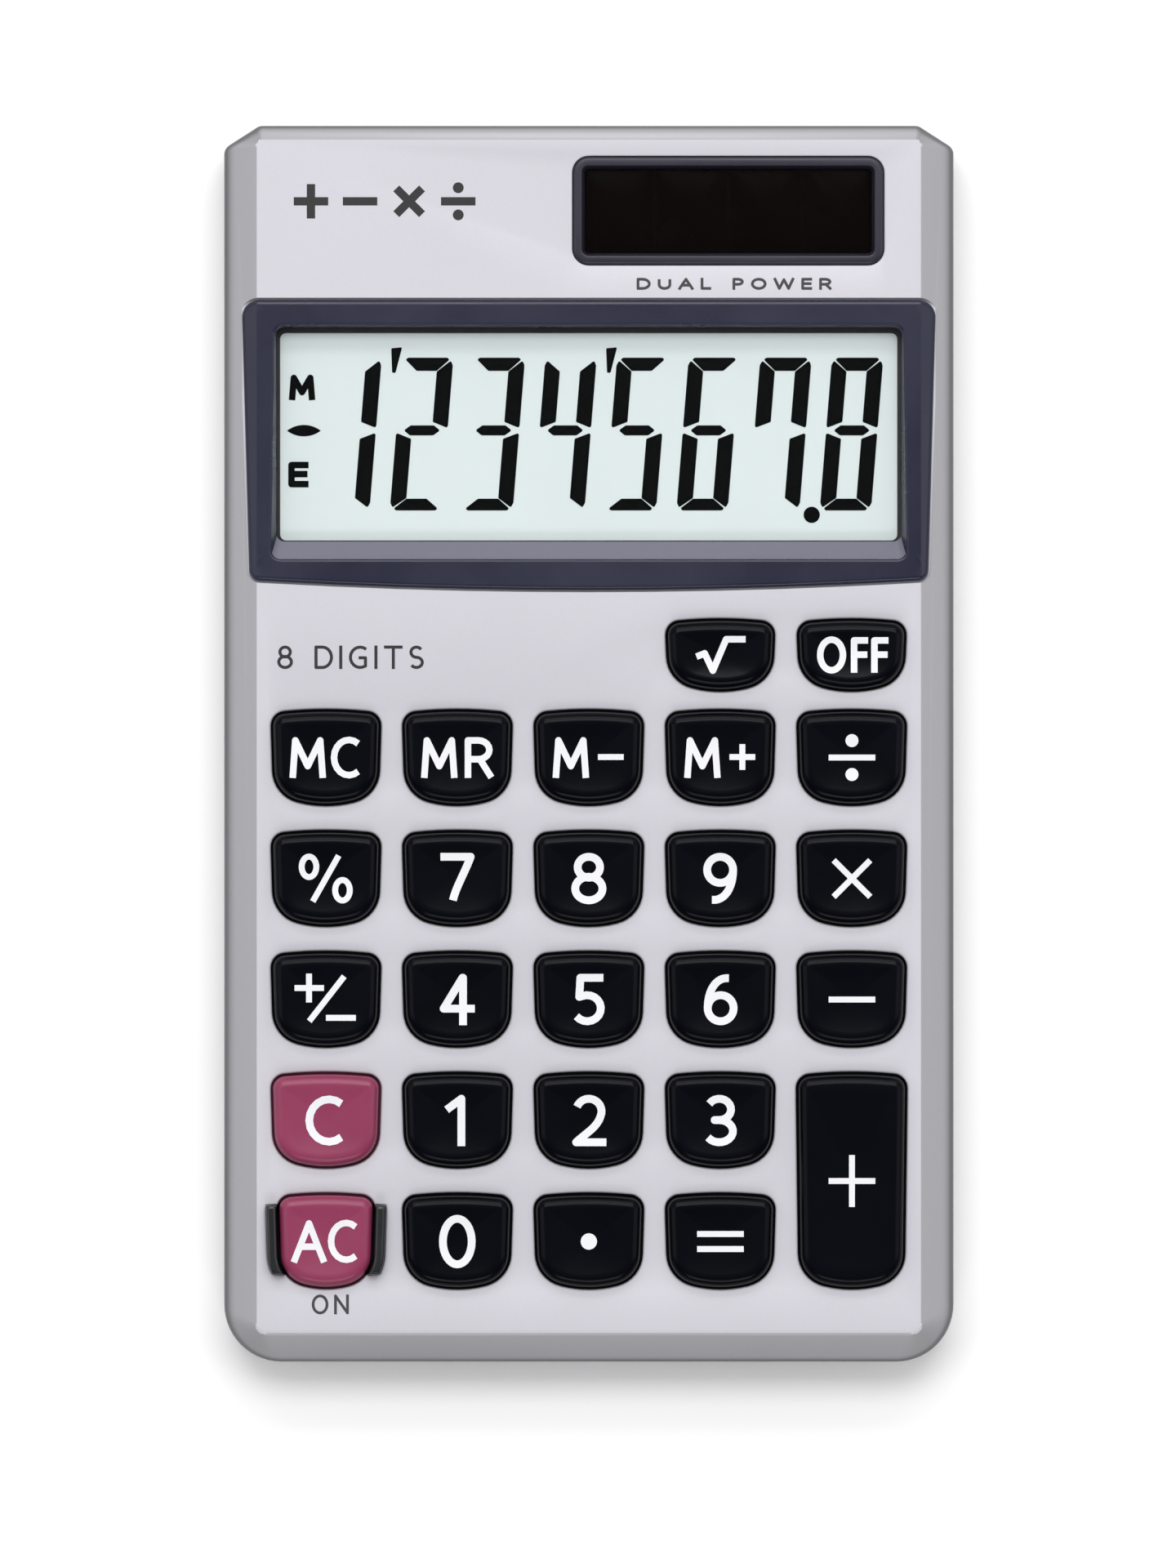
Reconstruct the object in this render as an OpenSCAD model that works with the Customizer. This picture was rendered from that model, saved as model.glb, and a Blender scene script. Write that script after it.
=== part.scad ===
// Pocket-size desk calculator: eight-digit display, solar cell with a button-cell backup, 26 keys.
// It lies on its feet with the display towards +Y and the keys facing +Z.
// The origin is the middle of the base, on the surface that the feet rest on.

/* [Case] */
// Width of the case, left to right
case_w = 70; // [69:0.5:72]
// Length of the case, bottom edge to top edge
case_l = 118.5; // [117.5:0.5:121]
// Radius of the two bottom corners
corner_r = 5.5; // [4:0.5:6]
// Width of the chamfer across each top corner
chamfer_w = 3.4; // [2:0.2:4]
// Length of the chamfer down each side
chamfer_l = 2.1; // [1.5:0.1:2.6]
// Width of the bevel along each side of the face
side_bevel_w = 3.2; // [2.8:0.1:3.4]
// Drop of the side bevel at the outer edge
side_bevel_drop = 1.6; // [1:0.1:1.8]
// Width of the bevel along the bottom of the face
end_bevel_w = 2.85; // [2.4:0.1:3.2]
// Drop of the bottom bevel at the outer edge
end_bevel_drop = 2.1; // [1.4:0.1:2.2]
// Wall thickness of both shells
wall = 1.2; // [1:0.1:1.3]

/* [Heights] */
// How far the rubber feet stand out of the base
foot_h = 0.5; // [0.4:0.1:0.6]
// Height of the joint between the two shells
parting_z = 4; // [3.8:0.1:4.1]
// Height of the front face
face_z = 7.7; // [7.6:0.1:7.9]
// Height of the key tops
key_top_z = 9; // [8.8:0.1:9.4]
// How far a key goes down
key_travel = 1; // [0.6:0.1:1]

/* [Keys] */
// Distance between key columns
column_pitch = 12.58; // [12.5:0.02:12.62]
// Distance between key rows
row_pitch = 11.57; // [11.5:0.01:11.6]
// Height on the face of the middle of the memory-key row
memory_row_y = -1.29; // [-1.4:0.01:-1.2]
// Middle of the short top row
top_row_y = 8.52; // [8.4:0.01:8.6]
// Width of a key's opening
opening_w = 10.75; // [10.4:0.05:10.8]
// Width of the narrow all-clear key's opening
narrow_opening_w = 9.5; // [9.2:0.1:9.6]
// Length of a key's opening
opening_l = 9.3; // [9:0.05:9.4]
// Length of a top-row key's opening
short_opening_l = 7.05; // [6.8:0.05:7.1]
// Gap between a key and the edge of its opening
key_gap = 0.25; // [0.2:0.01:0.3]

/* [Display] */
// Width of the window in the display bezel
window_w = 59.9; // [58:0.1:60]
// Height on the face of the window's lower edge
window_low_y = 19.4; // [19.2:0.1:19.6]
// Height on the face of the window's upper edge
window_high_y = 39.9; // [39.6:0.1:40]

/* [Solar cell] */
// Middle of the solar bezel, left to right
solar_x = 13.35; // [13:0.05:13.6]
// Middle of the solar bezel, on the face
solar_y = 51.05; // [50.8:0.05:51.2]
// Width of the solar bezel
solar_w = 29.7; // [29:0.1:30]
// Length of the solar bezel
solar_l = 10.3; // [10:0.1:10.5]
// Width of the solar bezel's rim
solar_rim = 1.1; // [1:0.1:1.3]

/* [Battery] */
// Diameter of the button cell
cell_d = 11.6; // [11.6]
// Thickness of the button cell
cell_h = 3.05; // [3.05]
// Middle of the button cell, left to right
cell_x = -17.5; // [-18:0.1:-17]
// Middle of the button cell, on the face
cell_y = 50.2; // [50:0.1:50.3]

/* [Hidden] */
$fn = 48;
chord_error = 0.03;             // how far a rounded outline's flats may lie inside its true arc
seam = 0.1;                     // visible gap between the two shells
slack = 0.1;                    // gap between assembled pieces
half_w = case_w / 2;
half_l = case_l / 2;
base_z = foot_h;                // outside of the rear shell
floor_z = base_z + wall;        // inside of the rear shell
plate_z = face_z - wall;        // inside of the face plate
top_round = 0.9;                // rounding along the top edge
inner_gap = wall + 0.1;         // from the outline to the inside of the front shell
tongue_gap = inner_gap + slack; // from the outline to the outside of the rear shell's tongue
tongue_w = 0.6;
tongue_h = 0.8;
tongue_foot = 1.2;              // how far the tongue's root reaches down inside the rear shell
big = 200;                      // longer than anything in the model

// circuit board and rubber keypad
board_z = 2.9;
board_t = 1;
board_w = 61.8;
board_low_y = -52.4;
board_high_y = 12.3;
sheet_z = board_z + board_t;
sheet_t = 0.5;
sheet_w = 61.4;
sheet_low_y = -52.2;
sheet_high_y = 12.2;
dome_r = 3.6;
dome_room = 0.4;                // what a flattened dome still takes up above the sheet
dome_top_z = sheet_z + sheet_t + dome_room + key_travel;
dome_boss_r = 2;
dome_skirt_t = 0.5;
dome_cone_h = 0.8;
pill_r = 1.5;
pill_z = 4.9;
pill_t = 0.2;
pill_clear = 0.15;              // room round a pill in its dome
sheet_step_y = 10.2;            // the sheet's top corner is cut away above this, for the solder joints
sheet_step_x = 6;

// keys
flange_z = dome_top_z - 0.1;
flange_t = 0.7;
flange_out = 0.25;              // how far the flange reaches past the opening
key_wall = 0.9;
key_cap_t = 1.2;
key_round = 0.9;                // rounding of the shoulder round the key's top
post_r = 1.6;
cheek_t = 1;                    // thickness of each cheek beside the all-clear key
cheek_l = 6.6;
cheek_shift = 0.1;              // how far the cheeks stand above the middle of their key
cheek_fit = 0.05;               // gap between a cheek and the face plate
cheek_foot = 0.4;               // how far each cheek's foot reaches under the face plate
cheek_clear = 0.3;              // gap between the cheeks and the key's flange, at their ends
arch_angle = 5.5;
belly_angle = 14;
shoulder_r = 1.4;
heel_r = 3.2;
taper = 0.25;

// display: z of each layer, from the lens down
pocket_z = face_z - 0.7;        // floor of the pockets that the two bezels sit in
bezel_proud = 0.25;
bezel_z = face_z + bezel_proud;
lens_top_z = 6.6;
lens_t = 0.6;
film_t = 0.15;
film_inset = 0.4;               // how far the films stop short of the front glass's edges
glass_t = 0.55;
film_z = lens_top_z - lens_t - film_t;
front_glass_z = film_z - glass_t;
rear_glass_z = front_glass_z - glass_t;
reflector_z = rear_glass_z - film_t;
cushion_t = 1.2;
cushion_z = reflector_z - cushion_t;
lens_margin = 1.4;
glass_w = 63.2;
glass_high_y = 41.2;
front_glass_low_y = 18.6;
rear_glass_low_y = 16.6;
slope_run = 1.7;                // length of the slope below the window
slope_inset = 0.2;              // gap between each end of the slope and the window's side
cushion_x = 24;                 // middle of each foam strip
cushion_w = 3;
cushion_low_y = 21;
cushion_high_y = 38;
rib_t = 1;
sink = 0.1;                     // how far joined shapes run into each other
top_ribs_x = [-26, 18];         // left end of each rib above the glass
top_rib_l = 8;
side_ribs_y = [24, 36];         // middle of each rib beside the glass
side_rib_l = 4;
side_rib_t = 0.8;
board_ribs_y = [-18, -36];      // ribs across the floor under the board
board_rib_l = 54;
ribbon_w = 26;
ribbon_x = -10;
ribbon_t = 0.1;

// solar cell
solar_window_t = 0.6;
solar_cell_t = 1.05;
solar_cell_w = 28.8;
solar_cell_l = 9.6;
solar_lip = 0.6;                // how far the case's opening stands in from the bezel's inside edge
solar_cell_z = plate_z - 0.15 - solar_cell_t;

// battery
cell_z = floor_z + 0.05;
holder_r = cell_d / 2 + 0.25;
contact_t = 0.2;
contact_w = 2.4;
contact_r = 3.4;
contact_tab = 3.8;              // how far each contact's solder tab stands out
contact_low_z = 2.3;            // lower edge of the plate beside the cell
contact_high_z = 4.2;
tab_low_y = 42;                 // lower end of the plate above the cell
cell_step = 0.9;                // width of the step round the cell's negative face
cell_step_h = 0.25;
holder_wall = 0.85;
holder_gap = 0.5;               // gap between the holder ring and the floor
tab_gap = 0.3;                  // gap between a contact and the holder ring
door_w = 16.4;
door_low_y = 39.4;
door_high_y = 56.8;
door_t = 0.55;
door_screw_y = 41.5;

// fasteners: [x, y] of each
case_screws_at = [for (x = [-1, 1]) each [[31 * x, 54.5], [30.8 * x, 14.4], [29.8 * x, -54.6]]];
board_screws_at = concat(
    [for (x = [-1.5, 1.5], row = [0.47, 2.47]) [x * column_pitch, memory_row_y - row * row_pitch]],
    [for (x = [-0.5, 0.5]) [x * column_pitch, memory_row_y - 3.47 * row_pitch]],
    [[-0.5 * column_pitch, 8]]
);
feet_at = [for (x = [-1, 1]) each [[29 * x, 47.5], [28.5 * x, -46.5]]];
foot_r = 2.5;
foot_t = 1;
label_t = 0.1;
case_screw_r = 0.97;
case_bore_r = 1;
case_boss_r = 1.8;
head_r = 1.8;
head_t = 1;
counterbore_r = 2.1;
counterbore_z = base_z + 1.3;
board_screw_r = 0.67;
board_bore_r = 0.7;
board_boss_r = 1.6;
board_head_r = 1.4;
board_head_t = 0.7;
door_screw_r = 0.77;
door_bore_r = 0.8;
door_head_r = 1.4;
door_head_t = 0.25;
screw_clear = 0.15;             // gap round a screw in a hole that it passes through
screw_end = 0.5;                // how far a screw stops below the face plate's underside
bore_end = 0.3;                 // how far its bore does
post_wall = 1.1;                // wall of the rear shell's screw posts

// routes of the four leads: [x, y, z] points chosen by hand, from the source down to the board
lead_r = 0.4;
solar_red_route = [
    [6, 50, 5.3], [6, 50, 4.4], [6, 49, 3.2], [5.9, 46, 2.6], [5.6, 42, 2.3], [5, 36, 2.2],
    [4, 29, 2.2], [2.6, 22, 2.2], [1.4, 16, 2.2], [0.8, 12.4, 2.2],
    [0.6, 10.6, 2.3], [0.6, 10.2, 2.6], [0.6, 10.2, 2.9]
];
solar_black_route = [
    [21, 50, 5.3], [21, 50, 4.4], [20.9, 49, 3.2], [20.2, 46, 2.6], [18.8, 42, 2.3], [16, 36, 2.2],
    [12.4, 29, 2.2], [8.6, 22, 2.2], [5.6, 16, 2.2], [4.4, 12.4, 2.2],
    [4, 10.6, 2.3], [4, 10.2, 2.6], [4, 10.2, 2.9]
];
cell_red_route = [
    [-8.8, 50.2, 2.9], [-8.8, 50.2, 2.6], [-8.4, 49.8, 2.3], [-7.4, 48, 2.2], [-7.2, 44, 2.2],
    [-7.6, 36, 2.2], [-8.4, 28, 2.2], [-9, 20, 2.2], [-9.4, 14, 2.2],
    [-9.5, 11.6, 2.3], [-9.5, 11.2, 2.6], [-9.5, 11.2, 2.9]
];
cell_black_route = [
    [-14.4, 42.6, 4.8], [-14.4, 42.6, 4.2], [-14.3, 42, 3.2], [-14, 39.6, 2.4], [-13.6, 34, 2.2],
    [-13.4, 28, 2.2], [-13, 20, 2.2], [-12.8, 14, 2.2],
    [-12.8, 11.6, 2.3], [-12.8, 11.2, 2.6], [-12.8, 11.2, 2.9]
];

// each key: [name, column from the middle, middle's y, opening width, opening length, colour]
ink = "#15151a";
plum = "#96375a";
row_y = [for (n = [0:4]) memory_row_y - n * row_pitch];
tall_l = opening_l + row_pitch;
KEYS = [
    ["key_sqrt", 1, top_row_y, opening_w, short_opening_l, ink],
    ["key_off", 2, top_row_y, opening_w, short_opening_l, ink],
    ["key_memory_clear", -2, row_y[0], opening_w, opening_l, ink],
    ["key_memory_recall", -1, row_y[0], opening_w, opening_l, ink],
    ["key_memory_minus", 0, row_y[0], opening_w, opening_l, ink],
    ["key_memory_plus", 1, row_y[0], opening_w, opening_l, ink],
    ["key_divide", 2, row_y[0], opening_w, opening_l, ink],
    ["key_percent", -2, row_y[1], opening_w, opening_l, ink],
    ["key_7", -1, row_y[1], opening_w, opening_l, ink],
    ["key_8", 0, row_y[1], opening_w, opening_l, ink],
    ["key_9", 1, row_y[1], opening_w, opening_l, ink],
    ["key_multiply", 2, row_y[1], opening_w, opening_l, ink],
    ["key_sign", -2, row_y[2], opening_w, opening_l, ink],
    ["key_4", -1, row_y[2], opening_w, opening_l, ink],
    ["key_5", 0, row_y[2], opening_w, opening_l, ink],
    ["key_6", 1, row_y[2], opening_w, opening_l, ink],
    ["key_minus", 2, row_y[2], opening_w, opening_l, ink],
    ["key_clear", -2, row_y[3], opening_w, opening_l, plum],
    ["key_1", -1, row_y[3], opening_w, opening_l, ink],
    ["key_2", 0, row_y[3], opening_w, opening_l, ink],
    ["key_3", 1, row_y[3], opening_w, opening_l, ink],
    ["key_plus", 2, (row_y[3] + row_y[4]) / 2, opening_w, tall_l, ink],
    ["key_all_clear", -2, row_y[4], narrow_opening_w, opening_l, plum],
    ["key_0", -1, row_y[4], opening_w, opening_l, ink],
    ["key_point", 0, row_y[4], opening_w, opening_l, ink],
    ["key_equals", 1, row_y[4], opening_w, opening_l, ink]
];

FIXED_PIECES = [
    "front_case", "rear_case", "display_bezel", "display_window",
    "solar_bezel", "solar_window", "solar_cell", "all_clear_guard",
    "lcd_polariser", "lcd_front_glass", "lcd_rear_glass", "lcd_reflector", "lcd_cushion", "lcd_ribbon",
    "main_board", "chip_blob", "board_capacitors", "board_resistors", "rubber_keypad", "carbon_pills",
    "button_cell", "contact_positive", "contact_negative", "battery_door", "battery_door_screw",
    "solar_lead_red", "solar_lead_black", "cell_lead_red", "cell_lead_black",
    "case_screws", "board_screws", "rear_label", "rubber_feet"
];

// ---- outlines: counter-clockwise lists of [x, y, corner radius] ----

function xy(p) = [p.x, p.y];
function unit(v) = v / norm(v);
function before(pts, i) = xy(pts[(i + len(pts) - 1) % len(pts)]);
function after(pts, i) = xy(pts[(i + 1) % len(pts)]);

// the outline moved outwards by g, with its corner radii to match
function grown(pts, g) = [
    for (i = [0:len(pts) - 1])
        let (
            a = unit(xy(pts[i]) - before(pts, i)),
            b = unit(after(pts, i) - xy(pts[i])),
            move = [a.y + b.y, -a.x - b.x] * g / (1 + a * b)
        )
        [pts[i].x + move.x, pts[i].y + move.y, max(0, pts[i].z + g)]
];

// the points of the arc that rounds the corner p, between its neighbours a and b
function arc(a, p, b, r) =
    let (u = unit(a - p), v = unit(b - p), half = acos(u * v) / 2, turn = 180 - 2 * half)
    r < 2 * chord_error ? [p] :
    let (
        centre = p + unit(u + v) * r / sin(half),
        first = p + u * r / tan(half) - centre,
        from = atan2(first.y, first.x),
        steps = max(1, ceil(turn / (2 * acos(1 - chord_error / r))))
    )
    [for (n = [0:steps]) centre + r * [cos(from + turn * n / steps), sin(from + turn * n / steps)]];

function rounded(pts) = [
    for (i = [0:len(pts) - 1])
        each arc(before(pts, i), xy(pts[i]), after(pts, i), pts[i].z)
];

function moved(pts, x, y) = [for (p = pts) [p.x + x, p.y + y, p.z]];

function box_outline(x0, y0, x1, y1, r) = [[x0, y0, r], [x1, y0, r], [x1, y1, r], [x0, y1, r]];

case_outline = [
    [-half_w, -half_l, corner_r],
    [half_w, -half_l, corner_r],
    [half_w, half_l - chamfer_l, 1],
    [half_w - chamfer_w, half_l, 1],
    [chamfer_w - half_w, half_l, 1],
    [-half_w, half_l - chamfer_l, 1]
];

// across the front shell, [x, z], with its face raised by rise
function side_profile(rise) = [
    [-half_w, 0, 0],
    [half_w, 0, 0],
    [half_w, face_z - side_bevel_drop + rise, 1.5],
    [half_w - side_bevel_w, face_z + rise, 0.3],
    [side_bevel_w - half_w, face_z + rise, 0.3],
    [-half_w, face_z - side_bevel_drop + rise, 1.5]
];

// along the front shell, [y, z]
end_profile = [
    [-half_l, 0, 0],
    [half_l, 0, 0],
    [half_l, face_z, top_round],
    [end_bevel_w - half_l, face_z, 0.3],
    [-half_l, face_z - end_bevel_drop, 1.2]
];

// inside of the front shell, across and along it
bevel_inner_drop = 0.7;
inner_side_profile = [
    [inner_gap - half_w, 0, 0],
    [half_w - inner_gap, 0, 0],
    [half_w - inner_gap, face_z - side_bevel_drop - bevel_inner_drop, 0],
    [half_w - side_bevel_w - 0.2, plate_z, 0],
    [side_bevel_w + 0.2 - half_w, plate_z, 0],
    [inner_gap - half_w, face_z - side_bevel_drop - bevel_inner_drop, 0]
];
inner_end_profile = [
    [inner_gap - half_l, 0, 0],
    [half_l - inner_gap, 0, 0],
    [half_l - inner_gap, plate_z, 0],
    [end_bevel_w + 0.5 - half_l, plate_z, 0],
    [inner_gap - half_l, face_z - end_bevel_drop - bevel_inner_drop, 0]
];

// outside of the rear shell's lower edges, across and along it
rear_edge = 1.5;
function rear_profile(half) = [
    [rear_edge - half, base_z, 0.4],
    [half - rear_edge, base_z, 0.4],
    [half, base_z + rear_edge, 1],
    [half, parting_z + 2, 0],
    [-half, parting_z + 2, 0],
    [-half, base_z + rear_edge, 1]
];

// a key's opening, w wide and l long: a shallow arch above, a deeper one below, and sides that taper in
function key_outline(w, l) =
    let (
        top = w / 2,
        low = w / 2 - taper,
        arch_r = 0.97 * (top / cos(arch_angle) - shoulder_r) / tan(arch_angle),
        heel_run = heel_r * tan(45 - belly_angle / 2),
        belly_r = 0.97 * (low / cos(belly_angle) - heel_run) / tan(belly_angle),
        arch_y = l / 2 + arch_r * (1 / cos(arch_angle) - 1),
        belly_y = -l / 2 - belly_r * (1 / cos(belly_angle) - 1)
    )
    [
        [0, belly_y, belly_r],
        [low, belly_y + low * tan(belly_angle), heel_r],
        [top, arch_y - top * tan(arch_angle), shoulder_r],
        [0, arch_y, arch_r],
        [-top, arch_y - top * tan(arch_angle), shoulder_r],
        [-low, belly_y + low * tan(belly_angle), heel_r]
    ];

function key_x(k) = k[1] * column_pitch;
function opening_of(k) = moved(key_outline(k[3], k[4]), key_x(k), k[2]);
function named(name) = [for (k = KEYS) if (k[0] == name) k][0];

window_outline = box_outline(-window_w / 2, window_low_y, window_w / 2, window_high_y, 0.8);
bezel_outline = [
    [-32.5, 15.7, 1],
    [0, 13.9, 550],
    [32.5, 15.7, 1],
    [33.3, 42.5, 1.6],
    [-33.3, 42.5, 1.6]
];
front_glass_outline = box_outline(-glass_w / 2, front_glass_low_y, glass_w / 2, glass_high_y, 0);
solar_outline = box_outline(
    solar_x - solar_w / 2, solar_y - solar_l / 2, solar_x + solar_w / 2, solar_y + solar_l / 2, 1.5
);
door_outline = box_outline(cell_x - door_w / 2, door_low_y, cell_x + door_w / 2, door_high_y, 2);
label_outline = box_outline(-19, -6, 19, 18, 1.5);

// ---- shared shapes ----

module slab(pts, z0, z1) {
    translate([0, 0, z0])
        linear_extrude(z1 - z0)
            polygon(rounded(pts));
}

// an [x, z] profile drawn out along Y
module across(profile) {
    translate([0, big / 2, 0])
        rotate([90, 0, 0])
            linear_extrude(big)
                polygon(rounded(profile));
}

// a [y, z] profile drawn out along X, w wide
module along(profile, w = big) {
    translate([-w / 2, 0, 0])
        rotate([90, 0, 90])
            linear_extrude(w)
                polygon(rounded(profile));
}

module ring(pts, outer_gap, inside_gap, z0, z1) {
    translate([0, 0, z0])
        linear_extrude(z1 - z0)
            difference() {
                polygon(rounded(grown(pts, -outer_gap)));
                polygon(rounded(grown(pts, -inside_gap)));
            }
}

module rods(places, r, z0, z1) {
    for (p = places)
        translate([p.x, p.y, z0])
            cylinder(r = r, h = z1 - z0);
}

module block(x0, y0, z0, x1, y1, z1) {
    translate([x0, y0, z0])
        cube([x1 - x0, y1 - y0, z1 - z0]);
}

// a pan-headed screw, head down, with a cross recess
module screw(head_bottom, head_radius, head_height, shank_radius, tip) {
    recess = 0.6 * head_height;
    difference() {
        union() {
            translate([0, 0, head_bottom])
                cylinder(r = head_radius, h = head_height);
            translate([0, 0, head_bottom])
                cylinder(r = shank_radius, h = tip - head_bottom);
        }
        for (turn = [0, 90])
            rotate([0, 0, turn])
                translate([-0.6 * head_radius, -0.15 * head_radius, head_bottom - 1])
                    cube([1.2 * head_radius, 0.3 * head_radius, 1 + recess]);
    }
}

// a round tube swept along a route, with flat ends
lead_sides = 8;
function lead_ring(route, i) =
    let (
        last = len(route) - 1,
        dir = unit(route[min(i + 1, last)] - route[max(i - 1, 0)]),
        side = unit(cross(dir, [1, 0.01, 0])),
        up = cross(side, dir)
    )
    [for (n = [0:lead_sides - 1]) route[i] + lead_r * (side * cos(45 * n) + up * sin(45 * n))];

module lead(route) {
    rings = len(route);
    points = [for (i = [0:rings - 1]) each lead_ring(route, i)];
    skin = [
        for (i = [0:rings - 2], n = [0:lead_sides - 1])
            let (m = (n + 1) % lead_sides, low = i * lead_sides, high = low + lead_sides)
                [low + n, low + m, high + m, high + n]
    ];
    first = [[for (n = [lead_sides - 1:-1:0]) n]];
    end = [[for (n = [0:lead_sides - 1]) (rings - 1) * lead_sides + n]];
    polyhedron(points, concat(first, skin, end));
}

// ---- case ----

module front_body() {
    difference() {
        intersection() {
            slab(case_outline, parting_z, face_z + 1);
            across(side_profile(0));
            along(end_profile);
        }
        intersection() {
            slab(grown(case_outline, -inner_gap), parting_z - 1, plate_z);
            across(inner_side_profile);
            along(inner_end_profile);
        }
    }
}

// a ring that holds the button cell, open where the two contacts leave it
module cell_holder() {
    half_slot = contact_w / 2 + tab_gap;
    slot_high_z = cell_z + cell_h + 2 * contact_t;
    difference() {
        translate([cell_x, cell_y, floor_z + holder_gap])
            cylinder(r = holder_r + holder_wall, h = plate_z - floor_z);
        translate([cell_x, cell_y, 0])
            cylinder(r = holder_r, h = plate_z);
        translate([cell_x, cell_y, 0]) {
            block(0, -half_slot, 0, cell_d, half_slot, slot_high_z);
            block(-half_slot, -cell_d, contact_high_z + 2 * contact_t, half_slot, 0, slot_high_z);
        }
    }
}

// ribs that keep the display glass in its place
module glass_ribs() {
    for (x = top_ribs_x)
        block(x, glass_high_y + slack, front_glass_z, x + top_rib_l, glass_high_y + rib_t, plate_z + sink);
    for (side = [-1, 1], y = side_ribs_y)
        translate([side * (glass_w / 2 + slack + side_rib_t / 2), y, (front_glass_z + plate_z) / 2])
            cube([side_rib_t, side_rib_l, plate_z - front_glass_z + 2 * sink], center = true);
}

module guard_band(g) {
    all_clear = named("key_all_clear");
    translate([key_x(all_clear), all_clear[2] + cheek_shift, 0])
        square([big, cheek_l + 2 * g], center = true);
}

// the band of the all-clear key's opening that takes in its two cheeks, grown by g
module guard_slot(g) {
    intersection() {
        polygon(rounded(grown(opening_of(named("key_all_clear")), cheek_t + g)));
        guard_band(g);
    }
}

// plan of the two cheeks beside the all-clear key, wider by g on their outer sides
module cheeks(g) {
    difference() {
        guard_slot(g);
        polygon(rounded(grown(opening_of(named("key_all_clear")), cheek_fit)));
    }
}

module front_case() {
    color("#d3d2d7")
        difference() {
            union() {
                front_body();
                rods(case_screws_at, case_boss_r, parting_z, plate_z + sink);
                rods(board_screws_at, board_boss_r, sheet_z, plate_z + sink);
                cell_holder();
                glass_ribs();
            }
            translate([0, 0, plate_z - 1])
                linear_extrude(3)
                    union() {
                        for (k = KEYS)
                            polygon(rounded(opening_of(k)));
                        guard_slot(cheek_fit);
                    }
            slab(grown(bezel_outline, 0.05), pocket_z, face_z + 1);
            slab(grown(window_outline, lens_margin + slack), plate_z - 0.5, face_z + 1);
            slab(grown(solar_outline, 0.05), pocket_z, face_z + 1);
            slab(grown(solar_outline, solar_lip - solar_rim), plate_z - 0.5, face_z + 1);
            rods(case_screws_at, case_bore_r, parting_z - 1, plate_z - bore_end);
            rods(board_screws_at, board_bore_r, sheet_z - 1, plate_z - bore_end);
        }
}

module rear_shell() {
    top_z = parting_z - seam;
    difference() {
        intersection() {
            slab(case_outline, 0, top_z);
            across(rear_profile(half_w));
            along(rear_profile(half_l));
        }
        slab(grown(case_outline, -wall), floor_z, top_z + 1);
    }
    ring(case_outline, wall - sink, tongue_gap + tongue_w, top_z - tongue_foot, top_z);
    ring(case_outline, tongue_gap, tongue_gap + tongue_w, top_z - tongue_foot, parting_z + tongue_h);
}

// ribs under the display's cushions and across the floor under the board
module floor_ribs() {
    for (x = [-cushion_x, cushion_x])
        translate([x - 0.6 * rib_t, cushion_low_y, floor_z - sink])
            cube([1.2 * rib_t, cushion_high_y - cushion_low_y, cushion_z - floor_z + sink]);
    for (y = board_ribs_y)
        translate([-board_rib_l / 2, y - rib_t / 2, floor_z - sink])
            cube([board_rib_l, rib_t, board_z - slack - floor_z + sink]);
}

module rear_case() {
    color("#c9c8cd")
        difference() {
            union() {
                rear_shell();
                floor_ribs();
                rods(case_screws_at, head_r + post_wall, floor_z - sink, counterbore_z + 0.8);
                rods(case_screws_at, case_boss_r, floor_z, parting_z - seam);
                rods([[cell_x, door_screw_y]], case_boss_r, floor_z - sink, cushion_z);
            }
            rods(case_screws_at, counterbore_r, -1, counterbore_z);
            rods(case_screws_at, case_bore_r + screw_clear, 0, parting_z + 1);
            rods(feet_at, foot_r + 0.1, -1, base_z + foot_t - foot_h + 0.05);
            slab(grown(door_outline, slack), -1, base_z + door_t + 0.05);
            rods([[cell_x, cell_y]], holder_r + 0.15, 0, floor_z + 1);
            rods([[cell_x, door_screw_y]], door_bore_r, 0, cushion_z - 0.4);
            slab(grown(label_outline, slack), -1, base_z + label_t + 0.05);
        }
}

module battery_door() {
    color("#c9c8cd")
        difference() {
            union() {
                slab(door_outline, base_z, base_z + door_t);
                rods([[cell_x, cell_y]], holder_r - 0.15, base_z + door_t / 2, floor_z);
            }
            rods([[cell_x, door_screw_y]], door_screw_r + screw_clear, 0, floor_z);
            rods([[cell_x, door_screw_y]], door_head_r + slack, 0, base_z + door_head_t + 0.05);
        }
}

module rubber_feet() {
    color("#2c2c30")
        rods(feet_at, foot_r, 0, foot_t);
}

module rear_label() {
    color("#b9b9be")
        slab(label_outline, base_z + 0.03, base_z + 0.03 + label_t);
}

module all_clear_guard() {
    color(ink)
        union() {
            translate([0, 0, flange_z])
                linear_extrude(key_top_z - flange_z)
                    cheeks(0);
            translate([0, 0, flange_z])
                linear_extrude(plate_z - flange_z)
                    intersection() {
                        cheeks(cheek_foot);
                        guard_band(0);
                    }
        }
}

// ---- display ----

module display_bezel() {
    window_cut = [
        [window_low_y, lens_top_z - 1, 0],
        [window_high_y - 1, lens_top_z - 1, 0],
        [window_high_y - 1, bezel_z + 1, 0],
        [window_low_y - slope_run, bezel_z + 1, 0],
        [window_low_y - slope_run, bezel_z, 0],
        [window_low_y, lens_top_z, 0]
    ];
    color("#2c2e42")
        difference() {
            union() {
                intersection() {
                    slab(bezel_outline, pocket_z, bezel_z + 1);
                    across(side_profile(bezel_proud));
                }
                slab(grown(window_outline, lens_margin), lens_top_z, pocket_z + 0.2);
            }
            slab(window_outline, 0, bezel_z + 1);
            along(window_cut, window_w - 2 * slope_inset);
        }
}

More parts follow.
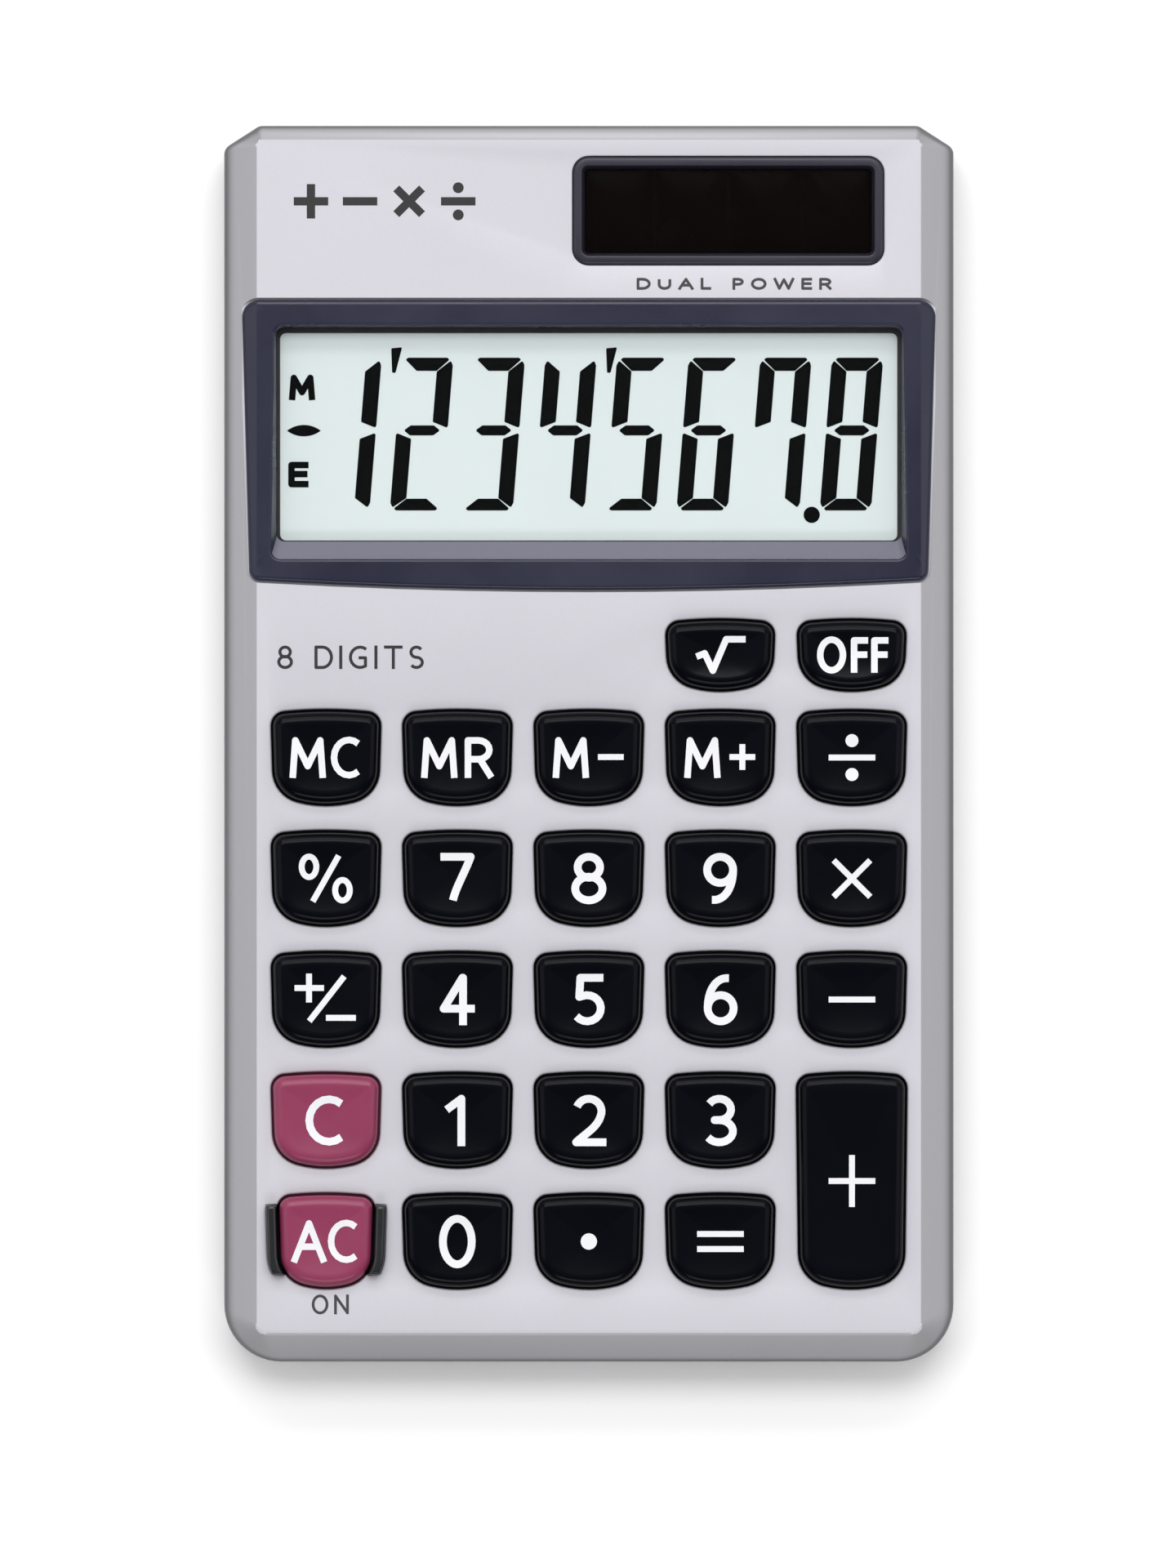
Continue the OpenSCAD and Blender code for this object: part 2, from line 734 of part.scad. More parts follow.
module display_window() {
    color("#dfe8e6", 0.4)
        slab(grown(window_outline, lens_margin), lens_top_z - lens_t, lens_top_z);
}

module lcd_polariser() {
    color("#c8d4d0", 0.6)
        slab(grown(front_glass_outline, -film_inset), film_z, film_z + film_t);
}

module lcd_front_glass() {
    color("#cfe0dd", 0.5)
        slab(front_glass_outline, front_glass_z, film_z);
}

module lcd_rear_glass() {
    color("#c3d6d2", 0.5)
        block(-glass_w / 2, rear_glass_low_y, rear_glass_z, glass_w / 2, glass_high_y, front_glass_z);
}

module lcd_reflector() {
    color("#d7e4e2")
        slab(grown(front_glass_outline, -film_inset), reflector_z, rear_glass_z);
}

module lcd_cushion() {
    color("#3a3a3a")
        for (x = [-cushion_x, cushion_x])
            translate([x, 0, 0])
                block(-cushion_w / 2, cushion_low_y, cushion_z, cushion_w / 2, cushion_high_y, reflector_z);
}

// the printed film that carries the display's lines to the board
module lcd_ribbon() {
    low_y = 10.6;
    bend_y = 12.1;
    glass_y = rear_glass_low_y - slack;
    end_y = front_glass_low_y - 2 * slack;
    step_z = front_glass_z;
    profile = [
        [low_y, sheet_z, 0],
        [bend_y, sheet_z, 0],
        [glass_y, step_z, 0],
        [end_y, step_z, 0],
        [end_y, step_z + ribbon_t, 0],
        [glass_y - ribbon_t, step_z + ribbon_t, 0],
        [bend_y - ribbon_t, sheet_z + ribbon_t, 0],
        [low_y, sheet_z + ribbon_t, 0]
    ];
    color("#b88a4a")
        translate([ribbon_x, 0, 0])
            along(profile, ribbon_w);
}

// ---- solar cell ----

module solar_bezel() {
    color("#33323f")
        difference() {
            slab(solar_outline, pocket_z, face_z + 0.2);
            slab(grown(solar_outline, -solar_rim), 0, face_z + 1);
            slab(grown(solar_outline, 0.3 - solar_rim), face_z - 0.1, face_z + 1);
        }
}

module solar_window() {
    color("#3a2f33", 0.5)
        slab(grown(solar_outline, 0.5 - solar_rim), pocket_z - solar_window_t, pocket_z);
}

module solar_cell() {
    color("#2a1d22")
        translate([solar_x - solar_cell_w / 2, solar_y - solar_cell_l / 2, solar_cell_z])
            cube([solar_cell_w, solar_cell_l, solar_cell_t]);
}

module solar_lead_red() {
    color("#b02020")
        lead(solar_red_route);
}

module solar_lead_black() {
    color("#202020")
        lead(solar_black_route);
}

// ---- board and keypad ----

module main_board() {
    color("#2f6b4a")
        difference() {
            block(-board_w / 2, board_low_y, board_z, board_w / 2, board_high_y, board_z + board_t);
            rods(board_screws_at, board_screw_r + screw_clear, 0, sheet_z + 1);
        }
}

module chip_blob() {
    blob_r = 6;
    blob_drop = 0.9;
    color("#121212")
        intersection() {
            translate([0, -1, board_z - blob_drop + blob_r])
                sphere(r = blob_r, $fn = 144);
            block(-blob_r, -1 - blob_r, 0, blob_r, blob_r - 1, board_z);
        }
}

// small parts under the board, each size = [width, length, height], with their left edges at the given x
module board_parts(left_edges, size) {
    for (x = left_edges)
        translate([x, -size.y, board_z - size.z])
            cube(size);
}

module board_capacitors() {
    color("#c8a45a")
        board_parts([9, 12, 15], [1.25, 2, 0.8]);
}

module board_resistors() {
    color("#222222")
        board_parts([-9, -11.5, -14, -16.5], [1.25, 2, 0.5]);
}

module dome() {
    cone_z = sheet_z + sheet_t + dome_cone_h;
    rotate_extrude()
        polygon([
            [0, pill_z + pill_t],
            [pill_r + pill_clear, pill_z + pill_t],
            [pill_r + pill_clear, pill_z],
            [dome_r - dome_skirt_t, sheet_z + 0.6 * dome_skirt_t],
            [dome_r - dome_skirt_t, sheet_z],
            [dome_r, sheet_z],
            [dome_r, sheet_z + sheet_t],
            [dome_boss_r, cone_z],
            [dome_boss_r, dome_top_z],
            [0, dome_top_z]
        ]);
}

module rubber_keypad() {
    color("#5c5f66")
        union() {
            translate([0, 0, sheet_z])
                linear_extrude(sheet_t)
                    difference() {
                        translate([-sheet_w / 2, sheet_low_y])
                            square([sheet_w, sheet_high_y - sheet_low_y]);
                        for (k = KEYS)
                            translate([key_x(k), k[2]])
                                circle(r = dome_r - 0.6 * dome_skirt_t);
                        for (p = board_screws_at)
                            translate(p)
                                circle(r = board_boss_r + 3 * slack);
                        translate([-sheet_w, sheet_step_y])
                            square([sheet_w + sheet_step_x, sheet_w]);
                    }
            for (k = KEYS)
                translate([key_x(k), k[2], 0])
                    dome();
        }
}

module carbon_pills() {
    color("#1b1b1b")
        rods([for (k = KEYS) [key_x(k), k[2]]], pill_r, pill_z, pill_z + pill_t);
}

// ---- battery ----

module button_cell() {
    color("#b9bbbd")
        difference() {
            rods([[cell_x, cell_y]], cell_d / 2, cell_z, cell_z + cell_h);
            translate([cell_x, cell_y, cell_z + cell_h - cell_step_h])
                difference() {
                    cylinder(r = cell_d, h = 1);
                    cylinder(r = cell_d / 2 - cell_step, h = 1);
                }
        }
}

module contact_positive() {
    tab_z = 2.9;
    color("#c9b26a")
        translate([cell_x + cell_d / 2, cell_y, 0])
            union() {
                block(0, -contact_w / 2, contact_low_z, contact_t, contact_w / 2, contact_high_z);
                block(0, -contact_w / 2, tab_z, contact_tab, contact_w / 2, tab_z + contact_t);
            }
}

module contact_negative() {
    contact_z = cell_z + cell_h;
    color("#c9b26a")
        union() {
            rods([[cell_x, cell_y]], contact_r, contact_z, contact_z + contact_t);
            translate([cell_x - contact_w / 2, tab_low_y, contact_z])
                union() {
                    cube([contact_w, cell_y - tab_low_y, contact_t]);
                    cube([contact_tab + 1.3, 1.1, contact_t]);
                }
        }
}

module cell_lead_red() {
    color("#b02020")
        lead(cell_red_route);
}

module cell_lead_black() {
    color("#202020")
        lead(cell_black_route);
}

// ---- screws ----

module battery_door_screw() {
    color("#a7a9ac")
        translate([cell_x, door_screw_y, 0])
            screw(base_z + 0.05, door_head_r, door_head_t, door_screw_r, cushion_z - 0.6);
}

module case_screws() {
    color("#a7a9ac")
        for (p = case_screws_at)
            translate([p.x, p.y, 0])
                screw(counterbore_z - head_t, head_r, head_t, case_screw_r, plate_z - screw_end);
}

module board_screws() {
    color("#a7a9ac")
        for (p = board_screws_at)
            translate([p.x, p.y, 0])
                screw(board_z - board_head_t, board_head_r, board_head_t, board_screw_r, plate_z - screw_end);
}

// ---- keys ----

// the profile that rounds a key's shoulder, of half-width half
function shoulder_profile(half) = [
    [-half, flange_z - 1, 0],
    [half, flange_z - 1, 0],
    [half, key_top_z, key_round],
    [-half, key_top_z, key_round]
];

// plan of a key's opening, about its own middle, grown by g
module key_plan(k, g) {
    polygon(rounded(grown(key_outline(k[3], k[4]), g)));
}

// the cap of a key, in place, before its underside is hollowed
module key_cap(k) {
    intersection() {
        translate([0, 0, flange_z])
            linear_extrude(key_top_z - flange_z)
                key_plan(k, -key_gap);
        across(shoulder_profile(k[3] / 2 - key_gap));
        along(shoulder_profile(k[4] / 2 - key_gap));
    }
}

// plan of the flange that keeps a key in, cut away where the all-clear key's two cheeks stand
module flange_plan(k) {
    difference() {
        key_plan(k, flange_out);
        if (k[0] == "key_all_clear")
            difference() {
                translate([-key_x(k), -k[2]])
                    guard_band(cheek_clear);
                key_plan(k, -key_gap);
            }
    }
}

module key(k) {
    under_cap_z = key_top_z - key_cap_t;
    color(k[5])
        translate([key_x(k), k[2], 0])
            union() {
                difference() {
                    union() {
                        key_cap(k);
                        translate([0, 0, flange_z])
                            linear_extrude(flange_t)
                                flange_plan(k);
                    }
                    translate([0, 0, flange_z - 1])
                        linear_extrude(under_cap_z - flange_z + 1)
                            key_plan(k, -key_gap - key_wall);
                }
                translate([0, 0, dome_top_z])
                    cylinder(r = post_r, h = under_cap_z - dome_top_z + sink);
            }
}

front_case();
rear_case();
display_bezel();
display_window();
solar_bezel();
solar_window();
solar_cell();
all_clear_guard();
lcd_polariser();
lcd_front_glass();
lcd_rear_glass();
lcd_reflector();
lcd_cushion();
lcd_ribbon();
main_board();
chip_blob();
board_capacitors();
board_resistors();
rubber_keypad();
carbon_pills();
button_cell();
contact_positive();
contact_negative();
battery_door();
battery_door_screw();
solar_lead_red();
solar_lead_black();
cell_lead_red();
cell_lead_black();
case_screws();
board_screws();
rear_label();
rubber_feet();
for (k = KEYS)
    key(k);
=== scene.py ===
import math

import bmesh
import bpy
import numpy as np
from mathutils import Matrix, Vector
from mathutils.geometry import delaunay_2d_cdt, interpolate_bezier


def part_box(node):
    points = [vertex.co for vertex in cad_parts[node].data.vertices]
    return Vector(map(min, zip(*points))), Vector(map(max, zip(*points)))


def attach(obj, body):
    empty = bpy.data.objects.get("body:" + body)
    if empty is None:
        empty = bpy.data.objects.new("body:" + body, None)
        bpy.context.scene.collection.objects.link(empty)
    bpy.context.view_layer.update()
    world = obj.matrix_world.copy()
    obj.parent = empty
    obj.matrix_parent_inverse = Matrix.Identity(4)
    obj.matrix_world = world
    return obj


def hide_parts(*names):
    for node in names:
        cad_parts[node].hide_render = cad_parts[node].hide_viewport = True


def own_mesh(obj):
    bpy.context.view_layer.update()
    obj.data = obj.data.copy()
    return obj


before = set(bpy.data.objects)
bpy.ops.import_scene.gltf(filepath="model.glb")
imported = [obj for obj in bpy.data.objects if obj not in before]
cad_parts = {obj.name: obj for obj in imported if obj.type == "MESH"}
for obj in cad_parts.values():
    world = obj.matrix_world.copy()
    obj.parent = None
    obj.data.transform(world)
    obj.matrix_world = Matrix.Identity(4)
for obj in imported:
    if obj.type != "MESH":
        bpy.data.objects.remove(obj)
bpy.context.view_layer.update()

# Shapes are worked out in millimetres and made in metres.
MM = 0.001


def box_mm(node):
    """A CAD node's lowest and highest corners, in millimetres."""
    low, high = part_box(node)
    return np.array(low) / MM, np.array(high) / MM


# ---- places and sizes that come from the frame ----

HALF_W, HALF_L, FACE_Z = box_mm("front_case")[1]
TONGUE_H = 0.8  # how far the rear case reaches up inside the front one
PARTING_Z = box_mm("rear_case")[1][2] - TONGUE_H
bezel_low, bezel_high = box_mm("display_bezel")
lens_low, lens_high = box_mm("display_window")
solar_low, solar_high = box_mm("solar_bezel")

# ---- sizes of details, in millimetres ----

WALL = 1.2
INNER_GAP = WALL + 0.1
PLATE_Z = FACE_Z - WALL
POCKET_Z = FACE_Z - 0.7
CORNER_R = 5.5
CHAMFER_W, CHAMFER_L = 3.4, 2.1
# How far in each bevel of the front case reaches and how far it drops, and the rounding of its top end.
SIDE_BEVEL_W, SIDE_BEVEL_DROP = 3.2, 1.6
END_BEVEL_W, END_BEVEL_DROP = 2.85, 1.85
TOP_ROUND = 1.4
BEZEL_GAP = 0.22
SOLAR_GAP = 0.08
LENS_MARGIN = 1.4
FLANGE_OUT = 0.25
KEY_GAP = 0.25
OPENING_ROUND = 0.22
NARROW_OPENING_W = 9.5
# The guard beside the all-clear key: its cheeks' thickness, their middle above the key's, and half their length.
CHEEK_T = 1.0
CHEEK_Y = 0.1
CHEEK_HALF_L = 3.3
CHEEK_SLOT_HALF_L = 3.35
CHEEK_SLOT_GAP = 0.05

KEYS = [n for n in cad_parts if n.startswith("key_")]


# ---- outlines: counter-clockwise corners (x, y, radius) and the rings of points they make ----


def unit(v):
    return v / np.linalg.norm(v)


def grown(corners, g):
    """The outline moved outwards by g, with its corner radii to match."""
    out = []
    for i, (x, y, r) in enumerate(corners):
        p = np.array([x, y])
        a = unit(p - np.array(corners[i - 1][:2]))
        b = unit(np.array(corners[(i + 1) % len(corners)][:2]) - p)
        move = np.array([a[1] + b[1], -a[0] - b[0]]) * g / (1 + a @ b)
        out.append((x + move[0], y + move[1], max(0.02, r + g)))
    return out


def ring(corners, steps=8):
    """Every corner as an arc of the same number of steps, so that rings of one outline match point for point."""
    out = []
    for i, (x, y, r) in enumerate(corners):
        p = np.array([x, y])
        u = unit(np.array(corners[i - 1][:2]) - p)
        v = unit(np.array(corners[(i + 1) % len(corners)][:2]) - p)
        half = math.acos(np.clip(u @ v, -1, 1)) / 2
        centre = p + unit(u + v) * r / math.sin(half)
        first = p + u * r / math.tan(half) - centre
        start = math.atan2(first[1], first[0])
        turn = math.pi - 2 * half
        for n in range(steps + 1):
            a = start + turn * n / steps
            out.append(centre + r * np.array([math.cos(a), math.sin(a)]))
    return np.array(out)


def rectangle(x0, y0, x1, y1, r):
    return [(x0, y0, r), (x1, y0, r), (x1, y1, r), (x0, y1, r)]


def at_z(points, z):
    """A ring of points at a height, which may be one number or one for each point."""
    return np.column_stack([points, np.broadcast_to(z, len(points))])


def fillet_curve(corner, before, after, r, steps):
    """The points that round one corner of a profile."""
    corner, before, after = (np.array(p, float) for p in (corner, before, after))
    u, v = unit(before - corner), unit(after - corner)
    half = math.acos(np.clip(u @ v, -1, 1)) / 2
    centre = corner + unit(u + v) * r / math.sin(half)
    a, b = corner + u * r / math.tan(half) - centre, corner + v * r / math.tan(half) - centre
    start, sweep = math.atan2(a[1], a[0]), math.atan2(a[0] * b[1] - a[1] * b[0], a @ b)
    return [
        centre + r * np.array([math.cos(start + sweep * n / steps), math.sin(start + sweep * n / steps)])
        for n in range(steps + 1)
    ]


# ---- meshes ----


def finish_mesh(name, verts, faces, material, body, smooth=35):
    """A closed piece from points in millimetres, smooth but for edges sharper than smooth degrees."""
    mesh = bpy.data.meshes.new(name)
    mesh.from_pydata([tuple(np.array(v) * MM) for v in verts], [], faces)
    bm = bmesh.new()
    bm.from_mesh(mesh)
    bmesh.ops.remove_doubles(bm, verts=bm.verts, dist=1e-7)
    bmesh.ops.dissolve_degenerate(bm, edges=bm.edges, dist=1e-7)
    bmesh.ops.recalc_face_normals(bm, faces=bm.faces)
    bm.to_mesh(mesh)
    bm.free()
    obj = bpy.data.objects.new(name, mesh)
    bpy.context.scene.collection.objects.link(obj)
    if material:
        mesh.materials.append(MADE[material])
    shade(obj, smooth)
    if body:
        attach(obj, body)
    return obj


def shade(obj, smooth):
    """Smooth shading, but for edges sharper than smooth degrees."""
    obj.data.shade_smooth()
    obj.data.set_sharp_from_angle(angle=math.radians(smooth))


class Skin:
    """Collects rings of points and joins them into one surface."""

    def __init__(self):
        self.verts = []
        self.faces = []

    def add(self, points):
        """Adds points and returns their numbers."""
        first = len(self.verts)
        self.verts += [np.array(p, float) for p in points]
        return list(range(first, len(self.verts)))

    def join(self, low, high):
        """Quads between two closed rings."""
        n = len(low)
        self.faces += [(low[i], low[(i + 1) % n], high[(i + 1) % n], high[i]) for i in range(n)]

    def loft(self, rings):
        """Adds rings, joins each to the next, and returns the numbers of the first and the last."""
        numbers = [self.add(r) for r in rings]
        for low, high in zip(numbers, numbers[1:]):
            self.join(low, high)
        return numbers[0], numbers[-1]

    def cap(self, numbers, point, flip=False):
        """Closes a ring with a fan of triangles to a point."""
        (middle,) = self.add([point])
        n = len(numbers)
        for i in range(n):
            a, b = numbers[i], numbers[(i + 1) % n]
            self.faces.append((b, a, middle) if flip else (a, b, middle))

    def plane(self, outer, holes, extra=()):
        """Fills the flat region inside one ring and outside the others, with extra points in it if given."""
        loops = [outer, *holes]
        numbers = [n for loop in loops for n in loop] + list(extra)
        flat = [Vector(self.verts[n][:2]) for n in numbers]
        _, _, triangles, origin, _, inside = delaunay_2d_cdt(flat, [], runs(loops), 0, 1e-6)
        for triangle, found in zip(triangles, inside):
            if found == [0]:
                self.faces.append(tuple(numbers[origin[v][0]] for v in triangle))

    def piece(self, name, material, body, **options):
        return finish_mesh(name, self.verts, self.faces, material, body, **options)


def runs(loops):
    """The numbers of each loop's points, when all are counted one loop after another."""
    starts = np.cumsum([0] + [len(loop) for loop in loops])
    return [list(range(a, b)) for a, b in zip(starts, starts[1:])]


def eased_rim(outline_at, r, top_z, steps):
    """Rings over a solid's rounded upper edge, from its wall to its top. outline_at(g): its outline grown by g."""
    turns = np.linspace(0, math.pi / 2, steps)
    return [at_z(outline_at(-r * (1 - math.cos(a))), top_z - r * (1 - math.sin(a))) for a in turns]


def eased_mouth(outline_at, r, top_z, steps=5):
    """Rings over an opening's rounded edge, from the top in and down to its wall."""
    turns = np.linspace(0, math.pi / 2, steps)
    return [at_z(outline_at(r * (1 - math.sin(a))), top_z - r * (1 - math.cos(a))) for a in turns]


def closed_loft(name, rings, material, body, **options):
    """A solid of stacked rings, each end closed with a fan."""
    skin = Skin()
    first, last = skin.loft(rings)
    skin.cap(first, np.mean(rings[0], axis=0), flip=True)
    skin.cap(last, np.mean(rings[-1], axis=0))
    return skin.piece(name, material, body, **options)


def frame_loft(name, rings, material, body, **options):
    """A solid frame: rings whose last joins back to the first."""
    skin = Skin()
    first, last = skin.loft(rings)
    skin.join(last, first)
    return skin.piece(name, material, body, **options)


def subtract(obj, cutters):
    """Cuts other solids out of a piece and removes them."""
    for cutter in cutters:
        cut = obj.modifiers.new("cut", "BOOLEAN")
        cut.operation = "DIFFERENCE"
        cut.solver = "EXACT"
        cut.object = cutter
        bpy.context.view_layer.update()
        graph = bpy.context.evaluated_depsgraph_get()
        mesh = bpy.data.meshes.new_from_object(obj.evaluated_get(graph))
        obj.modifiers.remove(cut)
        old = obj.data
        obj.data = mesh
        bpy.data.meshes.remove(old)
        bpy.data.objects.remove(cutter)
    obj.data.name = obj.name


# ---- outlines of the case and its openings ----


def key_outline(w, l):
    """A key's opening: a shallow arch above, a deeper one below, and sides that taper in."""
    arch, belly = math.radians(5.5), math.radians(14)
    shoulder_r, heel_r, taper = 1.4, 3.2, 0.25
    top, low = w / 2, w / 2 - taper
    arch_r = 0.97 * (top / math.cos(arch) - shoulder_r) / math.tan(arch)
    belly_r = 0.97 * (low / math.cos(belly) - heel_r * math.tan(math.pi / 4 - belly / 2)) / math.tan(belly)
    arch_y = l / 2 + arch_r * (1 / math.cos(arch) - 1)
    belly_y = -l / 2 - belly_r * (1 / math.cos(belly) - 1)
    return [
        (0, belly_y, belly_r),
        (low, belly_y + low * math.tan(belly), heel_r),
        (top, arch_y - top * math.tan(arch), shoulder_r),
        (0, arch_y, arch_r),
        (-top, arch_y - top * math.tan(arch), shoulder_r),
        (-low, belly_y + low * math.tan(belly), heel_r),
    ]


def key_place(key):
    """The middle of a key's opening, and the opening's width and length."""
    low, high = box_mm(key)
    if key == "key_all_clear":
        # The guard takes up its sides, so its width and place across come from its column.
        middle = np.array([ALL_CLEAR_X, (low[1] + high[1]) / 2])
        return middle, NARROW_OPENING_W, high[1] - low[1] - 2 * FLANGE_OUT
    middle = (low + high)[:2] / 2
    size = (high - low)[:2] - 2 * FLANGE_OUT
    return middle, size[0], size[1]


first_low, first_high = box_mm("key_clear")
ALL_CLEAR_X = (first_low[0] + first_high[0]) / 2
KEY_TOP_Z = first_high[2]
KEY_LOW_Z = first_low[2]

case_outline = [
    (-HALF_W, -HALF_L, CORNER_R),
    (HALF_W, -HALF_L, CORNER_R),
    (HALF_W, HALF_L - CHAMFER_L, 1),
    (HALF_W - CHAMFER_W, HALF_L, 1),
    (CHAMFER_W - HALF_W, HALF_L, 1),
    (-HALF_W, HALF_L - CHAMFER_L, 1),
]
CREASE_X = HALF_W - SIDE_BEVEL_W
CREASE_Y = END_BEVEL_W - HALF_L
crease_outline = [
    (-CREASE_X, CREASE_Y, 1),
    (CREASE_X, CREASE_Y, 1),
    (CREASE_X, HALF_L - 2.0, 0.3),
    (CREASE_X - 0.25, HALF_L - TOP_ROUND, 0.3),
    (0.25 - CREASE_X, HALF_L - TOP_ROUND, 0.3),
    (-CREASE_X, HALF_L - 2.0, 0.3),
]
sight_low, sight_high = lens_low[:2] + LENS_MARGIN, lens_high[:2] - LENS_MARGIN
window_outline = rectangle(*sight_low, *sight_high, 0.8)
bezel_outline = [
    (-32.5, 15.7, 1),
    (0, 13.9, 550),
    (32.5, 15.7, 1),
    (bezel_high[0], bezel_high[1], 1.6),
    (bezel_low[0], bezel_high[1], 1.6),
]
solar_outline = rectangle(*solar_low[:2], *solar_high[:2], 1.5)


def side_drop(x):
    """How far the side bevel lies below the face at a distance from the middle line."""
    w = np.maximum(np.abs(x) - CREASE_X + 0.1, 0)
    return np.where(w < 0.2, w * w / 0.8, 0.5 * (w - 0.1))


def guard_chain(g, side):
    """The stretch of the all-clear key's opening that a cheek stands along, moved outwards by g, going up."""
    middle, w, l = key_place("key_all_clear")
    points = ring(grown(key_outline(w, l), g), 24)
    half = np.array(sorted((p[1], abs(p[0])) for p in points if p[0] > 1))
    heights = np.linspace(CHEEK_Y - CHEEK_HALF_L, CHEEK_Y + CHEEK_HALF_L, 17)
    widths = np.interp(heights, half[:, 0], half[:, 1])
    return np.column_stack([side * widths, heights]) + middle


def offset_points(points, g):
    """A dense counter-clockwise ring moved outwards by g."""
    before, after = points - np.roll(points, 1, axis=0), np.roll(points, -1, axis=0) - points
    a = before / np.linalg.norm(before, axis=1)[:, None]
    b = after / np.linalg.norm(after, axis=1)[:, None]
    share = 1 + np.sum(a * b, axis=1)
    move = np.column_stack([a[:, 1] + b[:, 1], -a[:, 0] - b[:, 0]]) / np.maximum(share, 0.5)[:, None]
    return points + move * g


def opening_ring(key):
    """A key's opening in the face, with the guard's slots where it has them."""
    middle, w, l = key_place(key)
    outline = key_outline(w, l)
    points = ring(outline) + middle
    if key != "key_all_clear":
        return points
    low, high = (middle[1] + CHEEK_Y + end * CHEEK_SLOT_HALF_L for end in (-1, 1))
    top = sorted((p for p in points if p[1] > high), key=lambda p: -p[0])
    bottom = sorted((p for p in points if p[1] < low), key=lambda p: p[0])
    right, left = (guard_chain(CHEEK_T + CHEEK_SLOT_GAP, side) for side in (1, -1))
    edge = ring(outline, 24) + middle
    half = np.array(sorted((p[1], p[0] - middle[0]) for p in edge if p[0] - middle[0] > 1))
    low_w, high_w = np.interp([low, high], half[:, 0], half[:, 1])
    return np.array(
        [
            *right,
            (middle[0] + high_w, high),
            *top,
            (middle[0] - high_w, high),
            *left[::-1],
            (middle[0] - low_w, low),
            *bottom,
            (middle[0] + low_w, low),
        ]
    )


# ---- strokes: every printed mark is drawn with strokes of one width, or with discs ----


def stroke(points, width, round_first=False, round_last=False):
    """The outline of one smooth stroke. An end is square, or round where strokes join."""
    p = np.array(points, float)
    along = np.gradient(p, axis=0)
    along /= np.linalg.norm(along, axis=1)[:, None]
    if len(p) == 2:
        p[0] -= 0 if round_first else along[0] * width / 2
        p[1] += 0 if round_last else along[1] * width / 2
    side = np.column_stack([along[:, 1], -along[:, 0]]) * width / 2
    turns = np.linspace(0, math.pi, 9)[1:-1]
    first = [p[0] - math.sin(t) * along[0] * width / 2 - math.cos(t) * side[0] for t in turns if round_first]
    last = [p[-1] + math.sin(t) * along[-1] * width / 2 + math.cos(t) * side[-1] for t in turns if round_last]
    return np.array([*(p + side), *last, *(p - side)[::-1], *first])


def strokes(parts, width):
    """The outlines of strokes that belong together: an end that lies on another stroke is round."""
    parts = [np.array(part, float) for part in parts]

    def joined(end, own):
        for i, other in enumerate(parts):
            if i == own:
                continue
            a, b = other[:-1], other[1:]
            t = np.clip(np.sum((end - a) * (b - a), axis=1) / np.sum((b - a) ** 2, axis=1), 0, 1)
            if np.min(np.linalg.norm(a + t[:, None] * (b - a) - end, axis=1)) < 0.25 * width:
                return True
        return False

    return [stroke(part, width, joined(part[0], i), joined(part[-1], i)) for i, part in enumerate(parts)]


def arc(x, y, rx, ry, start, stop, steps=14):
    turns = np.radians(np.linspace(start, stop, steps + 1))
    return [(x + rx * math.cos(a), y + ry * math.sin(a)) for a in turns]


def bend(*points):
    """A cubic curve through a start, two handles and an end."""
    flat = [Vector((*p, 0)) for p in points]
    return [tuple(p)[:2] for p in interpolate_bezier(*flat, 13)]


def loop(x, y, rx, ry):
    """A closed loop, as two strokes that meet."""
    return [arc(x, y, rx, ry, -90, 90, 16), arc(x, y, rx, ry, 90, 270, 16)]


def zigzag(*points):
    """Straight strokes from point to point."""
    return [list(ends) for ends in zip(points, points[1:])]


# Strokes that several glyphs share.
SIX = [*loop(0.02, -0.4, 0.95, 0.6), bend((0.62, 0.98), (-0.3, 1.04), (-0.93, 0.45), (-0.93, -0.42))]
LEFT_STEM = [(-1, 1), (-1, -1)]
TOP_BAR = [(-1, 1), (1, 1)]
BOWL = [(-1, 1), *arc(-0.05, 0.45, 1.02, 0.55, 90, -90, 10), (-1, -0.1)]

